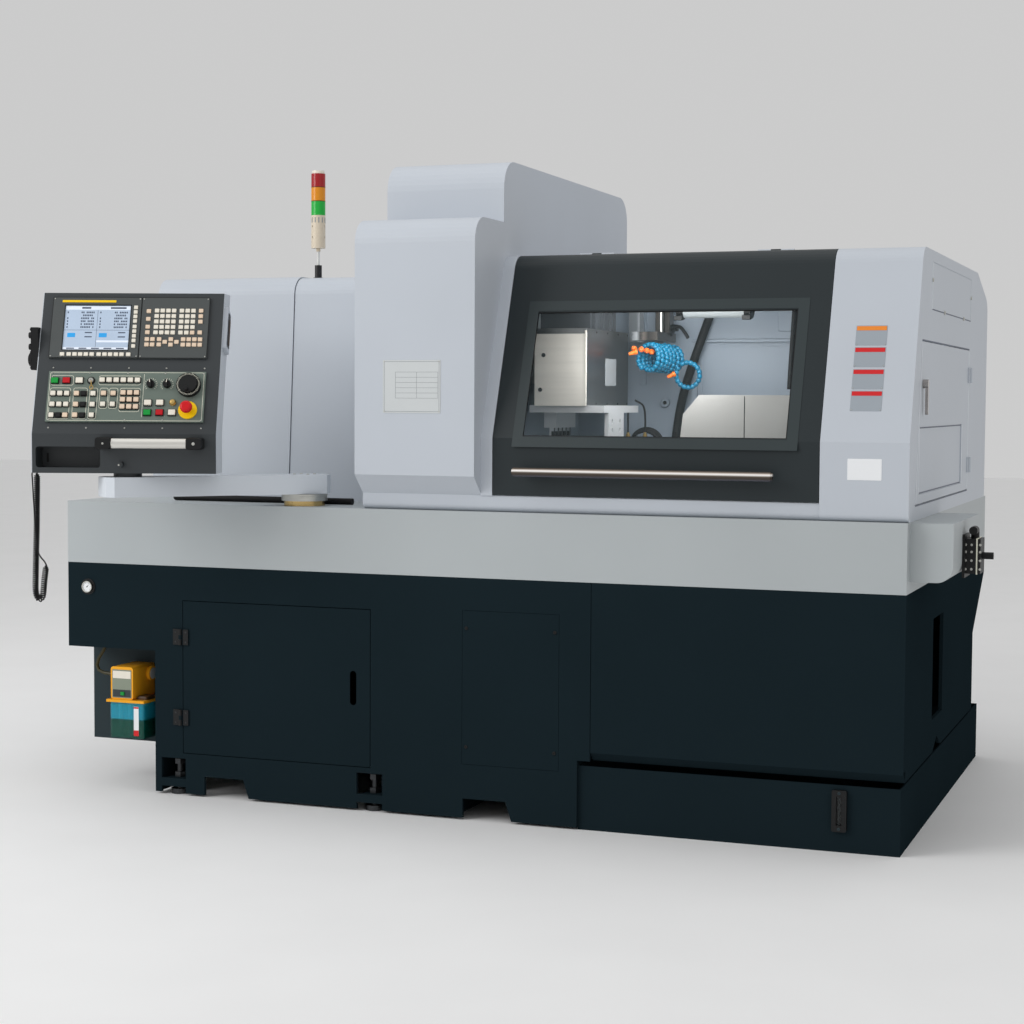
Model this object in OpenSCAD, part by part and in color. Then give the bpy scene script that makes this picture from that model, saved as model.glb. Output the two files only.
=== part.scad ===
// Sliding-head turning lathe: welded base, bed tray, covers, lift-up door and swing-arm panel.
// Frame: X to the right along the bed, Y to the back, Z up, origin on the floor under its middle.

/* [Bed and base] */
// Length of the bed tray
bed_len = 2950; // [2900:10:3000]
// Depth of the bed tray
bed_depth = 1900; // [1880:10:1960]
// Height of the bed tray's lower edge
tray_z = 802; // [795:1:815]
// Height of the bed tray
tray_h = 217; // [205:1:230]
// Wall of the bed tray
tray_wall = 6; // [4:1:9]
// Plate thickness of the base
base_wall = 12; // [9:1:15]
// Height of the base's lower edge above the floor
floor_gap = 8; // [5:1:12]
// Where the base's rear wall stands
base_back = 640; // [620:5:660]
// Width of the cabinet that overhangs on the left
cabinet_w = 352; // [340:1:365]
// Lower edge of the left cabinet
cabinet_z = 503; // [490:1:520]
// Sheet of the left cabinet
cabinet_wall = 6; // [4:1:8]

/* [Base door and panels] */
// Distance from the base's left edge to its door
base_door_in = 112; // [105:1:120]
// Width of the base door
base_door_w = 712; // [690:1:730]
// Height of the base door
base_door_h = 530; // [510:1:545]
// Lower edge of the base door
base_door_z = 151; // [145:1:160]
// Depth of the base door's folded rim
base_door_t = 20; // [16:1:26]
// Distance from the access panel to the tank bay
access_out = 63; // [55:1:75]
// Width of the access panel
access_w = 337; // [320:1:350]
// Height of the access panel
access_h = 509; // [480:1:530]
// Lower edge of the access panel
access_z = 186; // [170:1:200]
// Sheet of the access panel and the apron
apron_t = 4; // [3:0.5:6]
// Lower edge of the front apron
apron_z = 226; // [220:1:240]

/* [Coolant tank] */
// Length of the tank under the right half
tank_len = 1042; // [1020:1:1060]
// Height of the tank
tank_h = 208; // [190:1:214]
// Wall of the tank
tank_wall = 5; // [3:1:8]
// Width of the tank's arm along the right side
tank_arm_w = 316; // [300:1:330]

/* [Covers] */
// Width of the end cover
end_w = 272; // [260:1:290]
// Width of the front door's bay
door_bay = 1073; // [1050:1:1090]
// Width of the post left of the door
jamb_w = 40; // [36:1:48]
// Width of the tall column cover
column_w = 425; // [410:1:440]
// Sheet of the covers
sheet = 4; // [3:0.5:6]
// Height of the kink where the door starts to lean back
kink_z = 1260; // [1250:1:1275]
// Height of the enclosure's roof
roof_z = 1866; // [1850:1:1880]
// Height of the column cover
column_z = 1975; // [1955:1:1990]
// Height of the raised box behind the column
high_z = 2183; // [2160:1:2200]
// Height of the headstock cover
head_z = 1828; // [1810:1:1840]
// Lower edge of the front door
door_z = 1074; // [1072:1:1085]
// Depth of the front door's frame
door_t = 26; // [22:1:32]
// Distance from the jamb to the door's window
win_in = 103; // [95:1:112]
// Distance from the door's window to the end cover
win_out = 105; // [95:1:112]
// Height of the door's window along the slope
win_h = 428; // [400:1:440]
// Diameter of the door's handle bar
bar_d = 30; // [24:1:34]
// Distance from the jamb to the door's handle bar
bar_in = 89; // [80:1:100]
// Distance from the handle bar to the end cover
bar_out = 135; // [120:1:150]

/* [Spindles and tools] */
// Height of the spindle axis
axis_z = 1235; // [1225:1:1245]
// Where the spindle axis lies in depth
axis_y = -330; // [-345:1:-315]
// Radius of the spindle in its bearings
spindle_r = 50; // [45:1:54]
// Radius of the bar bore through the spindle
bar_r = 16; // [10:1:20]
// Width of the steel box on the tool slide
tool_box_w = 179; // [165:1:190]
// Height of the steel box on the tool slide
tool_box_h = 256; // [240:1:270]
// Depth of the steel box on the tool slide
tool_box_d = 470; // [450:1:480]
// Length of the sub-spindle's guard
sub_len = 600; // [560:1:630]
// Height of the sub-spindle guard's top
sub_top_z = 1403; // [1390:1:1415]

/* [Control panel] */
// Distance from the arm's pivot to the panel's swivel
arm_len = 620; // [600:1:640]
// Angle of the arm from the bed's length at rest
arm_deg = 48.7; // [40:0.1:60]
// Width of the arm
arm_w = 130; // [115:1:140]
// Height of the arm
arm_h = 65; // [55:1:75]
// Angle that the panel faces at rest
panel_deg = 19.8; // [10:0.1:30]
// Width of the panel housing
panel_w = 600; // [585:1:620]
// Height of the panel's upright lower part
panel_low_h = 128; // [122:1:140]
// Height of the panel's leaning part
panel_high_h = 463; // [455:1:480]
// How far the panel's top leans back
panel_lean = 179; // [165:1:190]
// Depth of the panel housing
panel_d = 120; // [110:1:130]

/* [Hidden] */
$fn = 64;

// Overrun of every cut, seam between fixed covers, gap of moving pieces, running fit of shafts
cut = 1;
seam = 2;
gap = 0.3;
run_fit = 0.05;
arc_steps = 8;

// Paints and metals
dark = [0.10, 0.14, 0.16];
grey = [0.63, 0.65, 0.66];
light = [0.75, 0.78, 0.81];
charcoal = [0.22, 0.25, 0.27];
black = [0.06, 0.06, 0.07];
steel = [0.70, 0.70, 0.68];
wall_blue = [0.62, 0.68, 0.74];

// Main lines of the machine
left = -bed_len / 2;
right = bed_len / 2;
front = -bed_depth / 2;
rear = bed_depth / 2;
deck_z = tray_z + tray_h;
base_x0 = left + cabinet_w;
bay_x0 = right - tank_len;
base_door_x0 = base_x0 + base_door_in;
base_door_x1 = base_door_x0 + base_door_w;
access_x0 = bay_x0 - access_out - access_w;
end_x0 = right - end_w;
jamb_x1 = end_x0 - door_bay;
jamb_x0 = jamb_x1 - jamb_w;
column_x0 = jamb_x0 - column_w;

// Base: rear overhang, tank bay, feet and pockets
rear_lip_z = 717;
rear_slant_z = 514;
bay_z = apron_z;
bulkhead_in = 39;
bulkhead_x = base_door_x1 + bulkhead_in;
apron_in = 43;
apron_x0 = bay_x0 + apron_in;
apron_lip = 28;
flange_w = 30;
tank_side = 9;
tank_x1 = right - tank_side;
tank_arm_x = tank_x1 - tank_arm_w;
right_foot_in = 47;
right_foot_gap = 20;
right_foot_x0 = bay_x0 + right_foot_in;
right_foot_x1 = tank_arm_x - right_foot_gap;
right_foot_y = -200;
pocket_w = 96;
pocket_z = [58, 130];
notch_z = 30;
fork_w = 175;
fork_h = 72;
fork_slant = 24;
fork_in = 194;
boss_half = 34;
fork_x = [base_x0 + fork_in, boss_half + seam];
boss_z = [33, 58];
bolt_r = 12;
pad_r = 32;
pad_h = 18;
bolt_top = 122;
nut_r = 20;
nut_h = 18;
side_open_y = [-383, -152];
side_open_z = [336, 672];
side_fold_y = [-355, -178];
side_fold_z = 267;
foot_in = 72;
foot_off = 40;
front_feet_x = [base_x0 + foot_in, bulkhead_x - foot_off];
feet_front_y = front + base_wall + boss_half;
feet_rear_y = base_back - base_wall - boss_half;
feet_at = concat(
  [for (x = front_feet_x, y = [feet_front_y, feet_rear_y]) [x, y]],
  [for (x = [right_foot_x0 + base_wall + boss_half, right_foot_x1 - base_wall - boss_half],
        y = [right_foot_y + base_wall + boss_half, feet_rear_y]) [x, y]],
  [[0, 0]]);

// Chip chute from the chamber's floor into the tank
chute_in = 67;
chute_out = 295;
chute_x = [bay_x0 + chute_in, right - chute_out];
chute_y = [-860, -480];
chute_wall = 5;

// Base door and its hinges
base_door_skin = 4;
base_door_rim = 25;
base_door_gap = 2.5;
pull_in = 62;
pull_z = [357, 473];
pull_w = 24;
hinge_h = 55;
hinge_z = [528, 247];
hinge_leaf_w = 30;
hinge_leaf_t = 5;
hinge_r = 6;
hinge_pin_r = 3;
hinge_in = 7.5;
hinge_x = base_door_x0 - hinge_in;
hinge_y = front - hinge_r - cut;
knuckle_share = 0.36;

// Tank, its recess from the front and its gauge
tank_set = 13;
tank_front = front + tank_set;
tank_back = 880;
tank_gap = 25;
gauge_in = 208;
gauge_x = tank_x1 - gauge_in;
gauge_w = 46;
gauge_z = [65, 194];
gauge_t = 14;
gauge_slot_w = 18;
gauge_rim = 20;

// Enclosure outline, front leaning by a share of its height
enc_set = 14;
enc_front = front + enc_set;
lean_share = 0.355;
lean_deg = atan(lean_share);
roof_front = enc_front + (roof_z - kink_z) * lean_share;
roof_rear = 592;
enc_rear = 905;
rear_kink_z = 1770;
roof_r = 70;
rear_r = 60;
foot_r = 20;

// Sill, jamb and door
sill_set = 20;
sill_y = front + sill_set;
sill_d = 50;
sill_h = 53;
sill_top = deck_z + sill_h;
jamb_d = 50;
door_back = -560;
door_skin = 6;
door_rim = 30;
win_w = door_bay - win_in - win_out;
win_v = 8.5;
win_lap = 12;
glass_t = 8;
bar_len = door_bay - bar_in - bar_out;
bar_z = 1152;
bar_off = 50;
bar_post_r = 9;
bar_post_in = 80;
bar_chamfer = 4;

// Hinges of the front door on the roof
lid_hinge_w = 120;
lid_hinge_in = 170;
lid_hinge_r = 6;
lid_pin_r = 3;
lid_leaf_w = 40;
lid_leaf_t = 4;
lid_axis_y = door_back + seam / 2;
lid_axis_z = roof_z + lid_hinge_r + cut;
lid_hinge_x = [jamb_x1 + lid_hinge_in, end_x0 - lid_hinge_in - lid_hinge_w];

// End cover, its side door and its lever
side_pts = [[-814, 1068], [-726, 1572], [390, 1572], [390, 1068]];
side_t = 18;
side_gap = 2;
side_inset_y = [-750, 215];
side_inset_z = [1096, 1307];
side_inset_t = 4;
side_inset_r = 8;
side_hinge_z = [1130, 1455];
side_hinge_x = right + hinge_r + cut;
side_hinge_y = side_pts[2][0] + side_gap / 2;
upper_panel_y = [-535, 406];
upper_panel_z = [1677, 1830];
groove_w = 4;
groove_t = 1.5;
lever_y = -698;
lever_z = 1440;
lever_boss_r = 14;
lever_boss_h = 8;
lever_t = 9;
lever_w = 15;
lever_len = 96;

// Column, raised box and headstock covers
column_out = 45;
column_front = front - column_out;
column_back = 646;
column_foot = 63;
column_r = 82;
high_front = -735;
high_r = 95;
high_cut_in = 40;
head_front = -530;
head_lean_share = 0.067;
head_r = 70;
head_in = 91;
head_x0 = left + head_in;
join_share = 0.4623;
join_x0 = column_x0 - (column_x0 - head_x0) * join_share;
join_step = 4;
spindle_port_y = [-505, -155];
spindle_port_z = 1425;
bar_hole_r = 40;
rear_cover_y = 940;
rear_cover_z = 1780;
louvre_w = 300;
louvre_h = 12;
louvre_pitch = 40;
louvre_n = 8;
louvre_z = 1250;
louvre_in = 120;

// Chamber walls and what hangs in it
wall_y = -60;
wall_field_z = 1605;
wall_field_in = 426;
wall_field_x = jamb_x1 + wall_field_in;
wall_field_t = 10;
wall_strip_w = 24;
wall_boss_in = 332;
wall_boss_at = [jamb_x1 + wall_boss_in, 1377];
wall_boss_r = 11;
wall_boss_h = 8;
partition_t = 30;
partition_x0 = jamb_x1 - partition_t;
bush_r = 40;
bush_flange_r = 58;
bush_flange_t = 12;
bush_out = 34;
lamp_in = 442;
lamp_len = 260;
lamp_x = from(jamb_x1 + lamp_in, lamp_len);
lamp_y = -300;
lamp_z = 1697;
lamp_r = 28;
lamp_cap_r = 33;
lamp_cap_w = 20;
lamp_strap_w = 26;
lamp_strap_t = 8;
post_in = 320;
post_w = 52;
post_x = from(jamb_x1 + post_in, post_w);
post_y = [-165, -115];
post_wall = 6;
post_z = 1622;
grey_post_in = 222;
grey_post_w = 40;
grey_post_x = from(jamb_x1 + grey_post_in, grey_post_w);
rod_r = 8;
rod_off = 16;
manifold_in = 290;
manifold_w = 92;
manifold_x = from(jamb_x1 + manifold_in, manifold_w);
manifold_y = [-350, -115];
manifold_h = 30;
clamp_z = 1642;
clamp_r = 12;
clamp_h = 24;
clamp_arm = 62;
clamp_arm_t = 12;
clamp_deg = 25;
coil_r = 54;
coil_bore_r = 35;
coil_len = 134;
coil_in = 354;
coil_y = -378;
coil_z = post_z - manifold_h - coil_r - gap;
coil_yaw = -27.7;
loop_in = 479;
loop_y = -300;
loop_z = 1473;
loop_r = 43;
loop_tube_r = 9;
conduit_r = 16;
conduit_y = -95;
conduit_in = [560, 560, 546, 525, 495, 466, 436, 410, 391, 380, 376, 375, 375];
conduit_drop_shares = [0, 0.02, 0.062, 0.139, 0.228, 0.323, 0.4235, 0.524, 0.631, 0.738, 0.845, 0.93, 1];
conduit_path = [for (i = [0 : len(conduit_in) - 1]) [jamb_x1 + conduit_in[i], conduit_y,
  roof_z - sheet - (roof_z - sheet - deck_z) * conduit_drop_shares[i]]];

// Guideways and headstock
rail_w = 44;
rail_h = 30;
rail_off = 95;
head_rail_out = 200;
head_rail_len = 850;
head_rail_x = from(jamb_x0 - head_rail_out - head_rail_len, head_rail_len);
sub_rail_out = 45;
sub_rail_len = 890;
sub_rail_x = from(right - sub_rail_out - sub_rail_len, sub_rail_len);
head_block_out = 810;
head_block_len = 580;
head_block_x = from(jamb_x0 - head_block_out, head_block_len);
head_block_w = 280;
head_block_top = 1385;
runner_h = 28;
spindle_tail = 60;
spindle_nose = 84;
spindle_tail_r = 34;
spindle_step = 40;
collet_r = 36;
collet_slot_w = 4;
collet_n = 3;

// Tool slide
saddle_t = 38;
saddle_y = [-560, -200];
saddle_z = [1440, 1770];
saddle_edge = 30;
tool_box_in = 61;
tool_box_x = jamb_x1 + tool_box_in;
tool_box_front = -700;
tool_box_z = 1366;
tool_box_wall = 3;
slide_plate_y = [-520, -260];
slide_top_z = 1792;
neck_y = [-585, -300];
neck_w = 155;
neck_rib_w = 14;
gang_w = 240;
gang_t = 24;
gang_y = [-690, -300];
tool_n = 5;
tool_pitch = 40;
tool_size = 16;
tool_first_y = -610;
tool_in = 23;
tool_x = tool_box_x + tool_in;
tool_tip_z = 1262;
tool_holder_w = 44;
tool_holder_z = 1290;
tool_tip_share = 0.45;
bracket_t = 14;
bracket_y = [-640, -470];
bracket_z = 1226;
bracket_hole_r = 8;
bracket_holes = 3;

// Sub-spindle
sub_out = 194;
sub_x = right - sub_out - sub_len;
sub_y = [-650, -130];
sub_step = 9;
sub_step_z = 1262;
sub_corner_z = 1340;
sub_corner_x = 63;
sub_wall = 4;
sub_plate_t = 14;
sub_plate_z = deck_z + rail_h + runner_h;
sub_bearing_r = 70;
sub_bearing_len = 120;
sub_spindle_r = 42;
sub_nose_len = 70;
sub_port = 90;

// Service box and valve at the right end
service_w = 130;
service_y = [-900, -300];
service_z = [838, 1017];
service_r = 50;
service_wall = 4;
valve_y = [-690, -590];
valve_z = [852, 960];
valve_t = 46;
valve_plate_t = 8;
valve_knob_r = 11;
valve_knob_len = 34;
elbow_r = 13;
elbow_h = 26;

// Lubricator under the left cabinet
lube_y = -790;
lube_plate_t = 5;
lube_plate_z = 150;
pump_in = 164;
pump_w = 90;
pump_x = from(left + pump_in, pump_w);
pump_front = -937;
pump_z = [320, 436];
pump_r = 10;
pump_lip = 10;
pump_flange_in = 151;
pump_flange_w = 152;
pump_flange_x = from(left + pump_flange_in, pump_flange_w);
pump_flange_t = 9;
pump_dial_at = [-822, 402];
pump_dial_r = 26;
pump_dial_t = 12;
oil_in = 157;
oil_w = 140;
oil_x = from(left + oil_in, oil_w);
oil_z = 184;
oil_wall = 4;
oil_r = 12;
lube_hose_r = 6;
lube_hose_y = -880;
// Hose route as places from the left end and drops below the cabinet
lube_hose_run = [[105, 0], [105, 6], [97, 23], [79, 48], [71, 73], [79, 92], [101, 101], [130, 103],
  [164, 103]];
lube_hose_path = [for (p = lube_hose_run) [left + p[0], lube_hose_y, cabinet_z - p[1]]];

// Air gauge and tower light
air_gauge_in = 83;
air_gauge_at = [left + air_gauge_in, 717];
air_gauge_r = 20;
air_gauge_t = 12;
air_gauge_rim = 3;
tower_in = 33;
tower_at = [join_x0 + tower_in, -350];
tower_r = 26;
tower_foot_r = 13;
tower_foot_h = 50;
tower_foot_lip = 5;
tower_rod_r = 5;
tower_rod_h = 50;
tower_neck_r = 8;
tower_neck_h = 12;
tower_body_h = 120;
tower_body_slot = 4;
tower_lens_h = 50.5;
tower_cap_h = 11;
tower_inset = 3;

// Arm and panel
pivot_out = 257;
pivot_at = [column_x0 - pivot_out, -850];
pivot_r = 70;
pivot_h = 17;
pivot_ring_r = 78;
pivot_ring_h = 24;
pivot_pin_r = 25;
arm_z = deck_z + pivot_h + pivot_ring_h + gap;
arm_tail = 78;
arm_head = 86;
arm_chamfer = 22;
arm_wall = 6;
arm_boss_r = 50;
arm_pin_depth = 56;
swivel_r = 46;
swivel_pin_r = 20;
swivel_pin_len = 48;
swivel_in = 64;
swivel_h = 13;
swivel_at = pivot_at - arm_len * [cos(arm_deg), sin(arm_deg)];
panel_z = arm_z + arm_h + swivel_h;
panel_kink_z = panel_z + panel_low_h;
panel_top_z = panel_kink_z + panel_high_h;
panel_lean_deg = atan(panel_lean / panel_high_h);
panel_wall = 4;
panel_rim = 3;
tray_x = [-286, -76];
tray_zs = [18, 86];
tray_deep = 86;
tray_r = 10;
gland_at = [-286, 16];
gland_r = 9;
latch_at = [-7, 29];
latch_r = 9;
latch_len = 26;

// Display, key unit and operator panel on the leaning face, measured from its lower edge
unit_t = 8;
unit_v = [262, 478];
unit_left = 36;
unit_side = 45;
display_w = 294;
unit_seam = 1;
screen_u = [42, 259];
screen_v = [28, 187];
screen_t = 3;
op_v = [39, 214];
op_side = 43;
op_t = 8;
estop_at = [205, 80];
estop_r = 20;
estop_stem_r = 9;
estop_ring_r = 30;
estop_ring_t = 3;
estop_lift = 22;
estop_h = 18;
estop_travel = 6;
wheel_at = [204, 165];
wheel_r = 40;
wheel_h = 16;
wheel_shaft_r = 8;
wheel_dimple_r = 5;
wheel_dimple_at = 27;
knob_at = [[79, 169], [132, 169]];
knob_r = 13;
knob_h = 18;
knob_shaft_r = 4;
knob_grip_w = 8;

// Panel handle, hand pulse unit and cord
handle_u = [-81, 263];
handle_z = 98;
handle_r = 15;
handle_off = 42;
handle_end = 52;
handle_foot_h = 40;
pulse_w = 24;
pulse_y = [96, 186];
pulse_z = [334, 474];
pulse_knob_r = 22;
pulse_knob_h = 14;
pulse_key_r = 11;
pulse_key_shares = [0.55, 0.82];
cord_r = 10;
lead_r = 2.5;
// Route of the cord and its lead as places across the panel and drops below it
cord_run = [[-286, 16, 0], [-286, 16, 48], [-287, 15, 108], [-288, 15, 178], [-290, 14, 248], [-292, 13, 330],
  [-293, 13, 378], [-289, 12, 401], [-280, 12, 412], [-270, 11, 404], [-266, 10, 382], [-263, 9, 350],
  [-259, 8, 322], [-256, 8, 300]];
lead_run = [[-256, 8, 300], [-261, 4, 288], [-271, -1, 274], [-281, -2, 252], [-286, -2, 200],
  [-290, -2, 140], [-295, 2, 70], [-300, 12, 20], [-304, 24, 0], [-304, 40, -60], [-304, 70, -160],
  [-306, 110, -260], [-311, 141, -318], [-312, 141, -333.5]];

// Outline helpers: unit vector, inward normal, mitred inset, rounded corners
function unit(v) = v / norm(v);
function inward(a, b) = let (d = unit(b - a)) [d[1], -d[0]];
function inset(pts, t) = let (n = len(pts)) [for (i = [0 : n - 1])
  let (a = pts[(i + n - 1) % n], p = pts[i], b = pts[(i + 1) % n], m = inward(a, p), k = inward(p, b))
  p + (m + k) * t / (1 + m * k)];
function turn(a, b) = let (d = b - a) d > 180 ? d - 360 : d < -180 ? d + 360 : d;
function corner(a, p, b, r) = r <= 0 ? [p] :
  let (u = unit(a - p), v = unit(b - p), half = acos(u * v) / 2, c = p + unit(u + v) * r / sin(half),
       s = p + u * r / tan(half) - c, e = p + v * r / tan(half) - c,
       s_deg = atan2(s[1], s[0]), sweep = turn(s_deg, atan2(e[1], e[0])))
  [for (k = [0 : arc_steps]) let (g = s_deg + sweep * k / arc_steps) c + r * [cos(g), sin(g)]];
function rounded(pts, radii) = let (n = len(pts)) [for (i = [0 : n - 1])
  each corner(pts[(i + n - 1) % n], pts[i], pts[(i + 1) % n], radii[i])];
function less(radii, t) = [for (r = radii) max(r - t, 0)];
// Ranges: half a width to both sides of a middle, a length from a start
function about(mid, half) = [mid - half, mid + half];
function from(start, length) = [start, start + length];
// A route below the panel in the panel's own frame
function dropped(run) = [for (p = run) [p[0], p[1], panel_z - p[2]]];

// Sections of the base, the enclosure, the column, the raised box and the headstock cover
function base_pts(z) = [[front, z], [front, tray_z], [rear, tray_z], [rear, rear_lip_z],
  [base_back, rear_slant_z], [base_back, z]];
function enc_pts(z) = [[enc_front, z], [enc_front, kink_z], [roof_front, roof_z], [roof_rear, roof_z],
  [enc_rear, rear_kink_z], [enc_rear, z]];
enc_radii = [0, 0, roof_r, rear_r, rear_r, 0];
end_radii = [foot_r, 0, roof_r, rear_r, rear_r, 0];
column_pts = [[sill_y, sill_top], [column_front, sill_top + column_foot], [column_front, column_z],
  [column_back, column_z], [column_back, deck_z], [sill_y + sill_d, deck_z], [sill_y + sill_d, sill_top]];
column_radii = [0, 0, column_r, 0, 0, 0, 0];
function high_pts(z) = [[high_front, z], [high_front, high_z], [column_back, high_z], [column_back, z]];
high_radii = [0, high_r, high_r, 0];
function head_pts(z) = [[head_front + (z - deck_z) * head_lean_share, z],
  [head_front + (head_z - deck_z) * head_lean_share, head_z], [column_back, head_z], [column_back, z]];
head_radii = [0, head_r, head_r, 0];

// Solid helpers: a box from ranges, prisms along X and Y, round bars along each axis
module bx(x, y, z) {
  translate([x[0], y[0], z[0]]) cube([x[1] - x[0], y[1] - y[0], z[1] - z[0]]);
}
module prism_x(pts, x0, x1) {
  translate([x0, 0, 0]) rotate([90, 0, 90]) linear_extrude(x1 - x0) polygon(pts);
}
module prism_y(pts, y0, y1) {
  translate([0, y1, 0]) rotate([90, 0, 0]) linear_extrude(y1 - y0) polygon(pts);
}
module bar_x(r, x, y, z) {
  translate([x[0], y, z]) rotate([0, 90, 0]) cylinder(r = r, h = x[1] - x[0]);
}
module bar_y(r, x, y, z) {
  translate([x, y[1], z]) rotate([90, 0, 0]) cylinder(r = r, h = y[1] - y[0]);
}
module bar_z(r, x, y, z) {
  translate([x, y, z[0]]) cylinder(r = r, h = z[1] - z[0]);
}
// A plate with round corners, drawn flat with its lower left corner at the origin
module soft_plate(w, h, t, r) {
  linear_extrude(t) polygon(rounded([[0, 0], [0, h], [w, h], [w, 0]], [r, r, r, r]));
}
// A round tube swept along a route that lies nearly in an XZ plane
module swept(path, r, sides) {
  n = len(path);
  rings = [for (i = [0 : n - 1])
    let (t = unit(path[min(i + 1, n - 1)] - path[max(i - 1, 0)]), a = unit(cross([0, 1, 0], t)),
         b = cross(t, a))
    each [for (k = [0 : sides - 1]) let (g = 360 * k / sides) path[i] + r * (cos(g) * a + sin(g) * b)]];
  sides_faces = [for (i = [0 : n - 2], k = [0 : sides - 1])
    let (m = (k + 1) % sides) [i * sides + k, (i + 1) * sides + k, (i + 1) * sides + m, i * sides + m]];
  polyhedron(rings, concat(sides_faces,
    [[for (k = [0 : sides - 1]) k], [for (k = [0 : sides - 1]) n * sides - 1 - k]]));
}
// The slope of the front door: X along, Y up the slope, Z outwards
module on_slope() {
  translate([0, enc_front, kink_z]) rotate([90 - lean_deg, 0, 0]) children();
}
// The panel's own frame, front plane at Y zero, and its leaning face
module on_panel() {
  translate([swivel_at[0], swivel_at[1], 0]) rotate([0, 0, panel_deg])
    translate([0, -swivel_in, 0]) children();
}
module on_panel_face() {
  on_panel() translate([0, 0, panel_kink_z]) rotate([90 - panel_lean_deg, 0, 0]) children();
}

// Hinge halves with the pin along Z at the origin and the leaves against a face behind it
module fixed_hinge() {
  end_h = hinge_h * knuckle_share;
  y = from(hinge_r + cut - hinge_leaf_t, hinge_leaf_t);
  bx([-hinge_leaf_w, -hinge_r - gap], y, [0, hinge_h]);
  for (z = [0, hinge_h - end_h]) {
    bx([-hinge_leaf_w, 0], y, from(z, end_h));
    bar_z(hinge_r, 0, 0, from(z, end_h));
  }
  bar_z(hinge_pin_r, 0, 0, [0, hinge_h]);
}
module moving_hinge() {
  end_h = hinge_h * knuckle_share + gap;
  y = from(hinge_r + cut - hinge_leaf_t, hinge_leaf_t);
  bx([hinge_r + gap, hinge_leaf_w], y, [0, hinge_h]);
  difference() {
    union() {
      bx([0, hinge_leaf_w], y, [end_h, hinge_h - end_h]);
      bar_z(hinge_r, 0, 0, [end_h, hinge_h - end_h]);
    }
    bar_z(hinge_pin_r + run_fit, 0, 0, [end_h - cut, hinge_h - end_h + cut]);
  }
}
module on_side_hinges() {
  for (z = side_hinge_z) translate([side_hinge_x, side_hinge_y, z]) rotate([0, 0, 90]) mirror([1, 0, 0])
    children();
}

module base_frame() {
  low = floor_gap - base_wall - cut;
  access_rim = flange_w / 2;
  color(dark) difference() {
    union() {
      difference() {
        prism_x(base_pts(floor_gap), base_x0, right);
        prism_x(inset(base_pts(low), base_wall), base_x0 + base_wall, right - base_wall);
        bx([bay_x0, right + cut], [front - cut, rear + cut], [low, bay_z]);
      }
      for (x = [bulkhead_x, -base_wall / 2, bay_x0 - base_wall])
        prism_x(base_pts(floor_gap), x, x + base_wall);
      difference() {
        bx([right_foot_x0, right_foot_x1], [right_foot_y, base_back], [floor_gap, tray_z]);
        bx([right_foot_x0 + base_wall, right_foot_x1 - base_wall],
          [right_foot_y + base_wall, base_back - base_wall], [low, tray_z - base_wall]);
      }
      for (p = feet_at)
        bx([p[0] - boss_half, p[0] + boss_half], [p[1] - boss_half, p[1] + boss_half], boss_z);
    }
    for (p = feet_at)
      bar_z(bolt_r + run_fit, p[0], p[1], [boss_z[0] - cut, boss_z[1] + cut]);
    for (z = [[0, boss_z[0]], [boss_z[1], bolt_top + nut_h]])
      bx(about(0, base_wall), about(0, boss_half), z);
    // Door and access openings, the recess for the access panel
    bx([base_door_x0 - base_door_gap, base_door_x1 + base_door_gap], [front - cut, front + base_wall + cut],
      [base_door_z - base_door_gap, base_door_z + base_door_h + base_door_gap]);
    bx([access_x0, access_x0 + access_w], [front - cut, front + apron_t], [access_z, access_z + access_h]);
    bx([access_x0 + access_rim, access_x0 + access_w - access_rim], [front - cut, front + base_wall + cut],
      [access_z + access_rim, access_z + access_h - access_rim]);
    // Levelling pockets over their notches, and the pockets for a fork lift
    for (x = front_feet_x) {
      bx([x - pocket_w / 2, x + pocket_w / 2], [front - cut, front + base_wall], pocket_z);
      bx([x - pocket_w / 2, x + pocket_w / 2], [front - cut, front + base_wall], [0, notch_z]);
    }
    for (x = fork_x)
      prism_y([[x, 0], [x, fork_h], [x + fork_w - fork_slant, fork_h], [x + fork_w, 0]],
        front - cut, rear + cut);
    // The apron's seat and the open front behind it
    bx([apron_x0, right + cut], [front - cut, front + apron_t], [0, tray_z + cut]);
    bx([apron_x0 + flange_w, right - flange_w], [front - cut, front + base_wall + cut],
      [0, tray_z - flange_w]);
    bx([apron_x0, right + cut], [front - cut, front + apron_lip + 2 * apron_t],
      [0, apron_z + apron_lip + 2 * apron_t]);
    // Opening and folded notch in the right wall, chip chute through the top
    bx([right - base_wall - cut, right + cut], side_open_y, side_open_z);
    prism_x([[side_fold_y[0], bay_z - cut], [(side_fold_y[0] + side_fold_y[1]) / 2, side_fold_z],
      [side_fold_y[1], bay_z - cut]], right - base_wall - cut, right + cut);
    bx(chute_x, chute_y, [tray_z - base_wall - cut, tray_z + cut]);
  }
}

module left_cabinet() {
  color(dark) difference() {
    bx([left, base_x0], [front, base_back], [cabinet_z, tray_z]);
    bx([left + cabinet_wall, base_x0 + cut], [front + cabinet_wall, base_back - cabinet_wall],
      [cabinet_z + cabinet_wall, tray_z - cabinet_wall]);
  }
}

module front_apron() {
  bend = apron_t * tan(22.5);
  back = apron_t * cos(45);
  color(dark) prism_x([[front, apron_z + apron_lip], [front, tray_z], [front + apron_t, tray_z],
    [front + apron_t, apron_z + apron_lip + bend], [front + apron_lip + back, apron_z + back],
    [front + apron_lip, apron_z]], apron_x0 + seam, right);
}

module access_panel() {
  color(dark) bx([access_x0 + cut, access_x0 + access_w - cut], [front, front + apron_t],
    [access_z + cut, access_z + access_h - cut]);
}

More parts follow.
